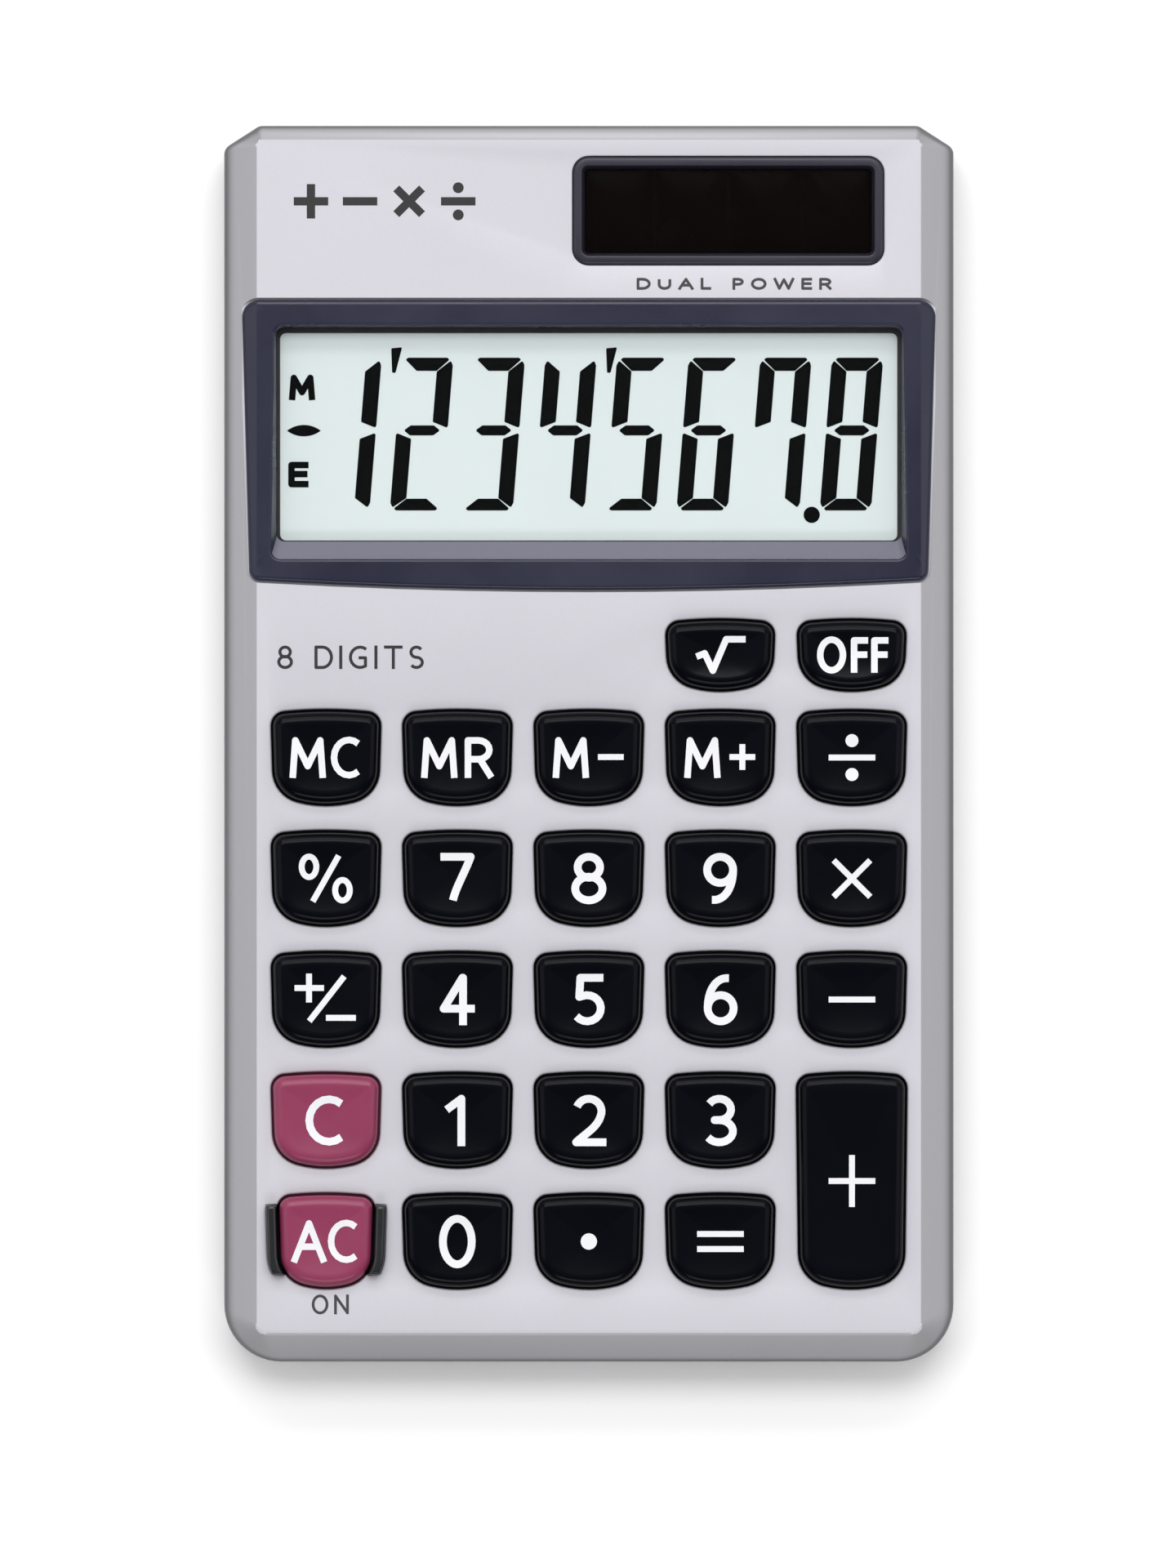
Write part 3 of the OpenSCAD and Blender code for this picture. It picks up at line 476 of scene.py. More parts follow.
# Each glyph: its width over its height, and its strokes in a box from -1 to 1.
GLYPHS = {
    "0": (0.62, loop(0, 0, 1, 1)),
    "1": (0.62, [[(0.3, 1), (0.3, -1)], [(0.3, 1), (-0.55, 0.6)]]),
    "2": (
        0.62,
        [
            arc(0, 0.42, 0.93, 0.58, 158, -22) + bend((0.86, 0.2), (0.62, -0.32), (-0.3, -0.62), (-0.93, -1))[1:],
            [(-0.93, -1), (1, -1)],
        ],
    ),
    "3": (
        0.62,
        [
            [*arc(-0.08, 0.51, 0.86, 0.49, 148, -90), (-0.42, 0.02)],
            [(-0.42, 0.02), *arc(-0.08, -0.49, 1, 0.51, 90, -146)],
        ],
    ),
    "4": (0.66, [[(0.38, 1), (-1, -0.42)], [(-1, -0.42), (1, -0.42)], [(0.42, 1), (0.42, -1)]]),
    "5": (
        0.62,
        [
            [(0.78, 1), (-0.62, 1)],
            [(-0.62, 1), (-0.7, 0.12)],
            [(-0.7, 0.12), *arc(-0.12, -0.4, 1, 0.6, 112, -142)],
        ],
    ),
    "6": (0.62, SIX),
    "7": (0.62, [[(-0.95, 1), (0.98, 1)], bend((0.98, 1), (0.5, 0.2), (-0.1, -0.4), (-0.32, -1))]),
    "8": (0.62, [*loop(0, 0.52, 0.82, 0.48), *loop(0, -0.46, 1, 0.54)]),
    "9": (0.62, [[(-x, -y) for x, y in part] for part in SIX]),
    "A": (0.84, [[(-1, -1), (0, 1)], [(0, 1), (1, -1)], [(-0.62, -0.3), (0.62, -0.3)]]),
    "C": (0.76, [arc(0.2, 0, 1.2, 1, 52, 308)]),
    "D": (0.76, [LEFT_STEM, [(-1, 1), *arc(-0.2, 0, 1.2, 1, 90, -90), (-1, -1)]]),
    "E": (0.54, [LEFT_STEM, TOP_BAR, [(-1, 0.05), (0.85, 0.05)], [(-1, -1), (1, -1)]]),
    "F": (0.48, [LEFT_STEM, TOP_BAR, [(-1, 0.02), (0.85, 0.02)]]),
    "G": (0.8, [arc(0.2, 0, 1.2, 1, 52, 300), *zigzag((0.85, -0.85), (0.85, -0.05), (0.2, -0.05))]),
    "I": (0.02, [LEFT_STEM]),
    "L": (0.52, [LEFT_STEM, [(-1, -1), (1, -1)]]),
    "M": (0.92, zigzag((-1, -1), (-0.84, 1), (0, -0.5), (0.84, 1), (1, -1))),
    "N": (0.74, [LEFT_STEM, *zigzag((-1, 1), (1, -1), (1, 1))]),
    "O": (0.86, loop(0, 0, 1, 1)),
    "P": (0.58, [LEFT_STEM, BOWL]),
    "R": (0.64, [LEFT_STEM, BOWL, [(0.1, -0.1), (1, -1)]]),
    "S": (0.6, [arc(0, 0.5, 0.9, 0.5, 32, 268) + arc(0, -0.5, 0.96, 0.5, 88, -146)]),
    "T": (0.76, [TOP_BAR, [(0, 1), (0, -1)]]),
    "U": (0.72, [[(-1, 1), *arc(0, -0.2, 1, 0.8, 180, 360), (1, 1)]]),
    "W": (1.2, zigzag((-1, 1), (-0.52, -1), (0, 0.9), (0.52, -1), (1, 1))),
    " ": (0.3, []),
}


def glyph(character, x, y, w, h, weight):
    """A glyph's stroke outlines, w wide and h tall over all, centred on a point."""
    half = np.array([max(w - weight, 0.01), h - weight]) / 2
    return strokes([np.array(part) * half + (x, y) for part in GLYPHS[character][1]], weight)


def word(text, x, y, h, weight, stretch=1.0, gap=0.28):
    """A line of glyphs centred on a point, h tall."""
    widths = [max(GLYPHS[c][0] * (h - weight) * stretch, 0.01) + weight for c in text]
    space = gap * h * stretch
    total = sum(widths) + space * (len(text) - 1)
    shapes, left = [], x - total / 2
    for character, w in zip(text, widths):
        shapes += glyph(character, left + w / 2, y, w, h, weight)
        left += w + space
    return shapes


def disc(x, y, r, steps=28):
    turns = np.linspace(0, 2 * math.pi, steps + 1)[:-1]
    return np.array([(x + r * math.cos(a), y + r * math.sin(a)) for a in turns])


# The printed mark on each key, around the key's middle.
BOLD, MEDIUM, FINE = 0.74, 0.62, 0.56
LONG_BAR = [(-1.95, 0), (1.95, 0)]
MEMORY = glyph("M", -1.72, 0, 3.45, 3.9, MEDIUM)
MEMORY_BAR = strokes([[(1.15, 0.05), (3.05, 0.05)]], FINE)
LEGENDS = {
    "sqrt": strokes(zigzag((-2.0, -0.05), (-1.5, 0.15), (-0.72, -1.5), (0.55, 1.5), (2.1, 1.5)), MEDIUM),
    "off": glyph("O", -1.95, 0, 2.8, 3.55, MEDIUM)
    + glyph("F", 0.72, 0, 1.65, 3.4, MEDIUM)
    + glyph("F", 2.66, 0, 1.65, 3.4, MEDIUM),
    "memory_clear": MEMORY + glyph("C", 1.98, 0, 3.0, 4.0, MEDIUM),
    "memory_recall": MEMORY + glyph("R", 2.06, 0, 2.7, 3.9, MEDIUM),
    "memory_minus": MEMORY + MEMORY_BAR,
    "memory_plus": MEMORY + MEMORY_BAR + strokes([[(2.1, 1.0), (2.1, -0.9)]], FINE),
    "divide": [*strokes([LONG_BAR], FINE), disc(0, 1.62, 0.62), disc(0, -1.62, 0.62)],
    "percent": strokes(loop(-1.6, 1.12, 0.7, 0.98), FINE)
    + strokes(loop(1.6, -1.12, 0.7, 0.98), FINE)
    + strokes([[(-1.1, -1.95), (1.1, 1.95)]], FINE),
    "multiply": [s for y in (-1.55, 1.55) for s in strokes([[(-1.55, y), (1.55, -y)]], FINE)],
    "sign": strokes([[(-2.7, 1.1), (-0.45, 1.1)], [(-1.6, 2.2), (-1.6, 0)]], FINE)
    + strokes([[(0.3, -1.75), (2.6, -1.75)]], FINE)
    + strokes([[(-1.4, -1.85), (1.6, 2.0)]], FINE),
    "minus": strokes([LONG_BAR], FINE),
    "plus": strokes([LONG_BAR, [(0, 2.2), (0, -2.2)]], FINE),
    "equals": strokes([[(-1.95, y), (1.95, y)] for y in (0.72, -0.72)], FINE),
    "clear": glyph("C", 0, 0, 3.9, 4.8, BOLD),
    "all_clear": glyph("A", -1.6, 0, 3.3, 4.05, MEDIUM) + glyph("C", 1.72, 0, 3.05, 4.15, MEDIUM),
    "point": [disc(0, 0, 0.78)],
    "0": glyph("0", 0, 0, 3.5, 5.1, BOLD),
}
LEGENDS.update({n: glyph(n, 0, 0, 3.35, 4.9, BOLD) for n in "123456789"})


def print_on(name, shapes, surface, material, body, proud=0.02, sunk=0.05):
    """A thin closed layer of ink or inlay in the union of some outlines, following a surface height."""
    points = [Vector(p) for shape in shapes for p in shape]
    flat, _, triangles, _, _, inside = delaunay_2d_cdt(points, [], runs(shapes), 0, 1e-4)
    kept = [t for t, found in zip(triangles, inside) if found]
    used = sorted({v for t in kept for v in t})
    number = {v: i for i, v in enumerate(used)}
    xy = np.array([flat[v][:2] for v in used])
    heights = surface(xy)
    top = np.column_stack([xy, heights + proud])
    low = np.column_stack([xy, heights - sunk])
    n = len(used)
    faces, edges = [], {}
    for t in kept:
        a, b, c = (number[v] for v in t)
        (x0, y0), (x1, y1), (x2, y2) = xy[a], xy[b], xy[c]
        if (x1 - x0) * (y2 - y0) < (x2 - x0) * (y1 - y0):
            b, c = c, b
        faces += [(a, b, c), (n + c, n + b, n + a)]
        for e in ((a, b), (b, c), (c, a)):
            edges[e] = edges.get(e, 0) + 1
    for a, b in edges:
        if (b, a) not in edges:
            faces.append((a, n + a, n + b, b))
    return finish_mesh(name, [*top, *low], faces, material, body, smooth=30)


def flat_at(z):
    """A level surface, for print_on."""
    return lambda xy: np.full(len(xy), z)


# ---- materials: each one procedural, from an object's own coordinates ----


def add_node(tree, kind, values=None, **sources):
    """A shader node with some of its inputs set, and others fed by other nodes' outputs."""
    node = tree.nodes.new("ShaderNode" + kind)
    for socket, value in (values or {}).items():
        node.inputs[socket].default_value = value
    for socket, source in sources.items():
        tree.links.new(source, node.inputs[socket])
    return node


def surface_material(
    name,
    colour,
    spread,
    roughness,
    rough_vary=0.08,
    tone_scale=60,
    grain_scale=2500,
    grain=0.03,
    grain_height=0.00002,
    grain_share=0.25,
    stretch=(1, 1, 1),
    steep=None,
    **sockets,
):
    """A material with two blended tones, a roughness that wanders, and a fine grain in relief.
    The tones are the colour times each of spread. Scales are in features per metre, and grain_height is in metres.
    grain_share is how much of the grain is in the tone. steep is (low, high, share), painted shade:
    the tone falls to a share of itself as the surface's own normal turns from high to low, both being its upward
    part."""
    material = bpy.data.materials.new(name)
    material.use_nodes = True
    tree = material.node_tree
    shader = tree.nodes["Principled BSDF"]
    coordinates = add_node(tree, "TexCoord")
    mapping = add_node(tree, "Mapping", {"Scale": stretch}, Vector=coordinates.outputs["Object"])

    def noise(scale, detail, rough):
        values = {"Scale": scale, "Detail": detail, "Roughness": rough}
        return add_node(tree, "TexNoise", values, Vector=mapping.outputs["Vector"]).outputs["Fac"]

    cloud = noise(tone_scale, 4, 0.55)
    fine = noise(grain_scale, 3, 0.6)
    blend = add_node(tree, "Mix", {"Factor": grain_share}, A=cloud, B=fine)
    ramp = add_node(tree, "ValToRGB", Fac=blend.outputs["Result"])
    for stop, position, tone in zip(ramp.color_ramp.elements, CLOUD_RANGE, spread):
        stop.position = position
        stop.color = (*(c * tone for c in colour), 1)
    tones = ramp.outputs["Color"]
    # Painted shade: the tone darkens as the surface turns away from facing up.
    if steep:
        low, high, share = steep
        normal = add_node(tree, "SeparateXYZ", Vector=coordinates.outputs["Normal"])
        values = {"From Min": low, "From Max": high, "To Min": share}
        fade = add_node(tree, "MapRange", values, Value=normal.outputs["Z"])
        fade.interpolation_type = "SMOOTHSTEP"
        darker = add_node(tree, "VectorMath")
        darker.operation = "SCALE"
        tree.links.new(tones, darker.inputs[0])
        tree.links.new(fade.outputs["Result"], darker.inputs["Scale"])
        tones = darker.outputs["Vector"]
    values = {"To Min": roughness - rough_vary, "To Max": roughness + rough_vary}
    values.update(zip(("From Min", "From Max"), CLOUD_RANGE))
    wander = add_node(tree, "MapRange", values, Value=cloud)
    relief = add_node(tree, "Bump", {"Strength": grain, "Distance": grain_height}, Height=fine)
    tree.links.new(tones, shader.inputs["Base Color"])
    tree.links.new(wander.outputs["Result"], shader.inputs["Roughness"])
    tree.links.new(relief.outputs["Normal"], shader.inputs["Normal"])
    for socket, value in sockets.items():
        shader.inputs[socket.replace("_", " ")].default_value = value
    return material


CLOUD_RANGE = (0.3, 0.7)  # the part of the noise's range that the tones and the roughness follow

# Settings that several materials share.
PAINT = dict(tone_scale=40, grain_scale=5000, grain=0.12, grain_height=0.00001, grain_share=0.5)
SHELL = dict(tone_scale=55, grain_scale=2600, grain=0.5, grain_height=0.00003, grain_share=0.4)
GLOSSY = dict(tone_scale=90, grain_scale=3500, grain=0.12)
KEY_CAP = dict(tone_scale=150, grain_scale=3800)
INK = dict(tone_scale=200, grain_scale=5200, grain=0.2)
CLEAR = dict(rough_vary=0.02, tone_scale=30, grain_scale=3000, grain=0.02)
SOLAR = dict(tone_scale=220, grain_scale=6000, Specular_IOR_Level=0.15)
WIRE = dict(grain_scale=2000, grain=0.3)
BRUSHED = dict(grain_scale=2200, grain=0.3, Metallic=1)

# Each material: its colour, the spread of its two tones, its roughness, and what else it sets.
MATERIALS = {
    "silver_paint": ((0.585, 0.575, 0.625), (0.975, 1.025), 0.42, dict(PAINT, rough_vary=0.03, Metallic=0.1)),
    # The bevels' coat, with painted shade on their outer roundings.
    "silver_bevel_edge_shade": (
        (0.36, 0.358, 0.378),
        (0.97, 1.03),
        0.4,
        dict(PAINT, rough_vary=0.04, steep=(0.42, 0.86, 0.2), Metallic=0.2),
    ),
    # Near black inside the shell: plastic, and painted shade for the gaps round the keys and the bezel.
    "inner_plastic_gap_shade": ((0.012, 0.012, 0.013), (0.8, 1.2), 0.6, dict(tone_scale=90, grain_scale=3000, grain=0.3)),
    "silver_plastic": (
        (0.43, 0.425, 0.46),
        (0.96, 1.04),
        0.5,
        dict(SHELL, rough_vary=0.06, Metallic=0.15),
    ),
    "navy_plastic": ((0.0105, 0.0115, 0.033), (0.9, 1.1), 0.3, dict(GLOSSY, Specular_IOR_Level=0.45)),
    # A painted highlight for the lit slope below the display window.
    "slope_painted_highlight": ((0.125, 0.125, 0.17), (0.95, 1.05), 0.36, GLOSSY),
    "smoke_plastic": ((0.022, 0.020, 0.034), (0.9, 1.1), 0.32, dict(GLOSSY, Specular_IOR_Level=0.4)),
    "black_key_plastic": (
        (0.0004, 0.0007, 0.0028),
        (0.8, 1.2),
        0.24,
        dict(KEY_CAP, rough_vary=0.04, grain=0.1, Specular_IOR_Level=0.1),
    ),
    "plum_key_plastic": (
        (0.25, 0.031, 0.086),
        (0.94, 1.06),
        0.34,
        dict(KEY_CAP, rough_vary=0.05, grain=0.12, Specular_IOR_Level=0.4),
    ),
    "guard_plastic": ((0.008, 0.010, 0.011), (0.8, 1.2), 0.2, dict(KEY_CAP, grain=0.08)),
    "legend_white": ((0.8, 0.8, 0.83), (0.98, 1.02), 0.42, dict(tone_scale=200, grain_scale=4200, grain=0.1)),
    "ink_black": ((0.012, 0.012, 0.014), (0.85, 1.15), 0.55, INK),
    "ink_grey": ((0.04, 0.04, 0.046), (0.9, 1.1), 0.55, INK),
    "liquid_crystal": (
        (0.0015, 0.002, 0.002),
        (0.8, 1.2),
        0.7,
        dict(tone_scale=200, grain_scale=3000, grain=0.05, Specular_IOR_Level=0.05),
    ),
    "clear_window": ((0.02, 0.025, 0.025), (0.97, 1.03), 0.08, dict(CLEAR, Alpha=0.015)),
    "polariser_film": ((0.02, 0.025, 0.025), (0.97, 1.03), 0.2, dict(CLEAR, Alpha=0.01)),
    "display_glass": ((0.12, 0.15, 0.145), (0.97, 1.03), 0.1, dict(CLEAR, Alpha=0.35)),
    # The front glass is seen with the crystal and the reflector right behind it, so it is pale and closed.
    "display_cell": ((0.79, 0.885, 0.88), (0.985, 1.015), 0.5, dict(tone_scale=120, grain_scale=7000, grain=0.2)),
    "tinted_window": ((0.003, 0.001, 0.001), (0.97, 1.03), 0.15, dict(CLEAR, Alpha=0.45, Specular_IOR_Level=0.08)),
    "reflector_film": ((0.74, 0.86, 0.84), (0.98, 1.02), 0.6, dict(tone_scale=120, grain_scale=6000, grain=0.2)),
    "solar_glass": ((0.0035, 0.0015, 0.0016), (0.7, 1.3), 0.25, dict(SOLAR, grain=0.1)),
    "solar_line": ((0.006, 0.004, 0.004), (0.8, 1.2), 0.4, dict(SOLAR, grain=0.2)),
    "keypad_rubber": ((0.03, 0.031, 0.036), (0.88, 1.12), 0.72, dict(grain_scale=1800, grain=0.5)),
    "carbon_rubber": ((0.012, 0.012, 0.012), (0.7, 1.3), 0.6, dict(grain_scale=3000, grain=0.6)),
    "foot_rubber": ((0.022, 0.022, 0.024), (0.75, 1.25), 0.78, dict(grain_scale=1600, grain=0.8)),
    "foam_rubber": ((0.03, 0.03, 0.03), (0.5, 1.5), 0.9, dict(grain_scale=900, grain=1, grain_height=0.0001)),
    "board_laminate": ((0.03, 0.13, 0.07), (0.8, 1.2), 0.38, dict(grain_scale=1500, grain=0.3, stretch=(1, 0.4, 1))),
    "black_epoxy": ((0.012, 0.012, 0.012), (0.8, 1.3), 0.22, dict(grain_scale=900, grain=0.3)),
    "ceramic": ((0.45, 0.30, 0.14), (0.85, 1.15), 0.5, dict(grain_scale=3000, grain=0.4)),
    "ribbon_film": ((0.42, 0.20, 0.055), (0.7, 1.2), 0.3, dict(tone_scale=700, grain=0.2, stretch=(1, 0.02, 0.02))),
    "cell_steel": ((0.56, 0.56, 0.55), (0.85, 1.1), 0.28, dict(BRUSHED, stretch=(1, 0.15, 1))),
    "contact_metal": ((0.62, 0.50, 0.26), (0.8, 1.1), 0.32, dict(BRUSHED, stretch=(0.15, 1, 1))),
    "screw_steel": ((0.40, 0.40, 0.41), (0.7, 1.2), 0.36, dict(BRUSHED, tone_scale=500, grain_scale=2600, grain=0.4)),
    "red_insulation": ((0.42, 0.02, 0.02), (0.85, 1.15), 0.42, WIRE),
    "black_insulation": ((0.016, 0.016, 0.018), (0.8, 1.3), 0.42, WIRE),
    "label_film": (
        (0.42, 0.42, 0.44),
        (0.93, 1.07),
        0.3,
        dict(tone_scale=300, grain_scale=2200, grain=0.25, stretch=(1, 0.08, 1), Metallic=0.6),
    ),
}
MADE = {
    name: surface_material(name, colour, spread, roughness, **settings)
    for name, (colour, spread, roughness, settings) in MATERIALS.items()
}

CAD_MATERIALS = {
    "silver_plastic": ["rear_case", "battery_door"],
    "clear_window": ["display_window"],
    "display_cell": ["lcd_front_glass"],
    "display_glass": ["lcd_rear_glass"],
    "reflector_film": ["lcd_reflector"],
    "foam_rubber": ["lcd_cushion"],
    "ribbon_film": ["lcd_ribbon"],
    "tinted_window": ["solar_window"],
    "board_laminate": ["main_board"],
    "black_epoxy": ["chip_blob"],
    "ceramic": ["board_capacitors"],
    "carbon_rubber": ["board_resistors"],
    "cell_steel": ["button_cell"],
    "contact_metal": ["contact_positive", "contact_negative"],
    "screw_steel": ["battery_door_screw", "case_screws", "board_screws"],
    "red_insulation": ["solar_lead_red", "cell_lead_red"],
    "black_insulation": ["solar_lead_black", "cell_lead_black"],
    "label_film": ["rear_label"],
    "foot_rubber": ["rubber_feet"],
}
for material, names in CAD_MATERIALS.items():
    for name in names:
        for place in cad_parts[name].material_slots:
            place.material = MADE[material]


# ---- front case ----


def corner_weights(ends, steps):
    """A weight for every point of a ring, from one value before each corner to one after it."""
    return np.concatenate([np.linspace(before, after, steps + 1) for before, after in ends])[:, None]


def bevel_profile(width, drop, outer_r, crease_r=1.2):
    """Across a bevel: how far out from the crease, as a share of its width, and how far below the face."""
    inner = fillet_curve((0, 0), (-5, 0), (width, drop), crease_r, 4)
    outer = fillet_curve((width, drop), (0, 0), (width, 10), outer_r, 8)
    return np.array(inner + outer) / (width, 1)


def rounded_profile(r):
    """The same across an edge with no bevel, only a rounding."""
    inner = [(w, 0) for w in np.linspace(-0.12, 0, 5)]
    outer = [(r * math.sin(a), r * (1 - math.cos(a))) for a in np.linspace(0, math.pi / 2, 9)]
    return np.array(inner + outer) / (r, 1)


def make_front_case():
    steps = 14
    outer = ring(case_outline, steps)
    crease = ring(crease_outline, steps)
    side = bevel_profile(SIDE_BEVEL_W, SIDE_BEVEL_DROP, 2.2)
    end = bevel_profile(END_BEVEL_W, END_BEVEL_DROP, 1.2)
    top = rounded_profile(TOP_ROUND)
    # Each corner's weights of the bottom bevel and of the top rounding, before and after it.
    end_share = corner_weights([(0, 1), (1, 0), (0, 0), (0, 0), (0, 0), (0, 0)], steps)
    top_share = corner_weights([(0, 0), (0, 0), (0, 0.15), (0.8, 1), (1, 0.8), (0.15, 0)], steps)
    skin = Skin()
    rings = []
    for s, e, t in zip(side, end, top):
        share = s[0] + (e[0] - s[0]) * end_share + (t[0] - s[0]) * top_share
        drop = s[1] + (e[1] - s[1]) * end_share + (t[1] - s[1]) * top_share
        rings.append(np.column_stack([crease + (outer - crease) * share, FACE_Z - drop]))
    # Down the outer wall, round the parting line, up the inner wall and in to the plate's underside.
    for outline, g, z in (
        (case_outline, 0, PARTING_Z + 0.15),
        (case_outline, -0.04, PARTING_Z + 0.04),
        (case_outline, -0.15, PARTING_Z),
        (case_outline, -INNER_GAP, PARTING_Z),
        (case_outline, -INNER_GAP, PLATE_Z - 1.5),
        (crease_outline, -0.2, PLATE_Z),
    ):
        rings.append(at_z(ring(grown(outline, g), steps), z))
    face_edge, under_edge = skin.loft(rings)
    openings = []
    for key in KEYS:
        points = opening_ring(key)
        mouth = eased_mouth(lambda g: offset_points(points, g), OPENING_ROUND, FACE_Z)
        openings.append(skin.loft([*mouth, at_z(points, PLATE_Z)]))
    mouth = eased_mouth(lambda g: ring(grown(solar_outline, SOLAR_GAP + g)), 0.15, FACE_Z)
    pocket = ring(grown(solar_outline, SOLAR_GAP))
    lip = ring(grown(solar_outline, -0.5))
    openings.append(skin.loft([*mouth, at_z(pocket, POCKET_Z), at_z(lip, POCKET_Z), at_z(lip, PLATE_Z)]))
    skin.plane(face_edge, [first for first, last in openings])
    skin.plane(under_edge, [last for first, last in openings])
    case = skin.piece("front_case_shell", "silver_paint", None)
    # The bevels and walls have a darker coat than the face, with painted shade where they turn down at the outer
    # edges. Inside, the plastic is darker still, near black, which also paints in the shade of the gaps round the
    # keys and the bezel.
    case.data.materials.append(MADE["silver_bevel_edge_shade"])
    case.data.materials.append(MADE["inner_plastic_gap_shade"])
    coat_z = FACE_Z - 0.9 * OPENING_ROUND
    for face in case.data.polygons:
        x, y, z = np.array(face.center) / MM
        beyond = abs(x) > CREASE_X + 0.05 or y < CREASE_Y - 0.05 or y > HALF_L - TOP_ROUND
        outward = face.normal.z > 0.3 or face.normal.x * x + face.normal.y * y > 0
        coated = z > coat_z or (beyond and outward)
        face.material_index = 2 if not coated else 1 if beyond else 0
    recess_ring = ring(grown(bezel_outline, BEZEL_GAP), 10)
    window_ring = ring(grown(window_outline, LENS_MARGIN + 0.1))
    above = FACE_Z + 2
    recess = closed_loft("recess_cutter", [at_z(recess_ring, z) for z in (POCKET_Z, above)], None, None)
    opening = closed_loft("opening_cutter", [at_z(window_ring, z) for z in (PLATE_Z - 1, above)], None, None)
    subtract(case, [recess, opening])
    shade(case, 32)
    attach(case, "case")
    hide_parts("front_case")


make_front_case()


# ---- keys ----

SHOULDER_R = 0.95
DISH = 0.22
KEY_CAP_T = 1.2
KEY_WALL = 0.9
POST_R = 1.6
DISH_SHARES = (0.9, 0.75, 0.55, 0.35, 0.15)


def dish_height(key):
    """The height of a key's top at points on it: dished, and deepest in the middle."""
    middle, w, l = key_place(key)
    edge = ring(grown(key_outline(w, l), -KEY_GAP - SHOULDER_R))
    step = np.roll(edge, -1, axis=0) - edge
    keep = np.linalg.norm(step, axis=1) > 1e-6
    out = np.column_stack([step[keep, 1], -step[keep, 0]])
    reach = np.sum(out * edge[keep], axis=1)

    def height(xy):
        share = np.max((np.asarray(xy) - middle) @ out.T / reach, axis=1)
        return KEY_TOP_Z - DISH * np.clip(1 - share**2, 0, 1)

    return height


def make_key(key):
    middle, w, l = key_place(key)
    outline = key_outline(w, l)

    def around(g):
        return ring(grown(outline, g)) + middle

    flange = around(FLANGE_OUT)
    body_edge = around(-KEY_GAP)
    if key == "key_all_clear":
        # The guard's cheeks stand where the flange would be.
        beside = np.abs(flange[:, 1] - middle[1] - CHEEK_Y) < 3.75
        flange[beside] = body_edge[beside] + (body_edge[beside] - middle) * 0.001
    inside = around(-KEY_GAP - KEY_WALL)
    flange_top = KEY_LOW_Z + 0.7
    cap_z = KEY_TOP_Z - KEY_CAP_T
    post_low = KEY_LOW_Z + 0.1
    post = ring(rectangle(-POST_R, -POST_R, POST_R, POST_R, POST_R))
    skin = Skin()
    rings = [at_z(inside, KEY_LOW_Z), at_z(flange, KEY_LOW_Z), at_z(flange, flange_top), at_z(body_edge, flange_top)]
    rings += eased_rim(lambda g: around(g - KEY_GAP), SHOULDER_R, KEY_TOP_Z, 8)
    edge = around(-KEY_GAP - SHOULDER_R)
    for share in DISH_SHARES:
        rings.append(at_z(middle + (edge - middle) * share, KEY_TOP_Z - DISH * (1 - share**2)))
    low_edge, top_edge = skin.loft(rings)
    skin.cap(top_edge, (*middle, KEY_TOP_Z - DISH))
    ceiling = skin.add(at_z(inside, cap_z))
    skin.join(low_edge, ceiling)
    post_top = skin.add(at_z(post + middle, cap_z))
    post_end = skin.add(at_z(post + middle, post_low))
    skin.plane(ceiling, [post_top])
    skin.join(post_top, post_end)
    skin.cap(post_end, (*middle, post_low))
    plastic = "plum_key_plastic" if key in ("key_clear", "key_all_clear") else "black_key_plastic"
    piece = skin.piece(f"{key}_cap", plastic, key, smooth=40)
    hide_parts(key)
    shapes = [np.array(shape) + middle for shape in LEGENDS[key.removeprefix("key_")]]
    print_on(f"{key}_legend", shapes, dish_height(key), "legend_white", key, proud=0.025)


for key in KEYS:
    make_key(key)

# ---- the two cheeks that guard the all-clear key ----

for side, name in ((1, "right"), (-1, "left")):
    outer, inner = guard_chain(CHEEK_T, side), guard_chain(CHEEK_SLOT_GAP, side)
    points = np.array([*outer, *inner[::-1]])
    if side < 0:
        points = points[::-1]
    skin = Skin()
    top = eased_rim(lambda g: offset_points(points, g), 0.32, KEY_TOP_Z, 6)
    first, last = skin.loft([at_z(points, KEY_LOW_Z), *top])
    # Both ends are strips: each ring is two chains side by side.
    for numbers in (first, last):
        for i in range(len(outer) - 1):
            j = len(numbers) - 1 - i
            skin.faces.append((numbers[i], numbers[i + 1], numbers[j - 1], numbers[j]))
    cheek = skin.piece(f"guard_cheek_{name}", "guard_plastic", "case", smooth=40)
    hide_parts("all_clear_guard")


# ---- display bezel ----


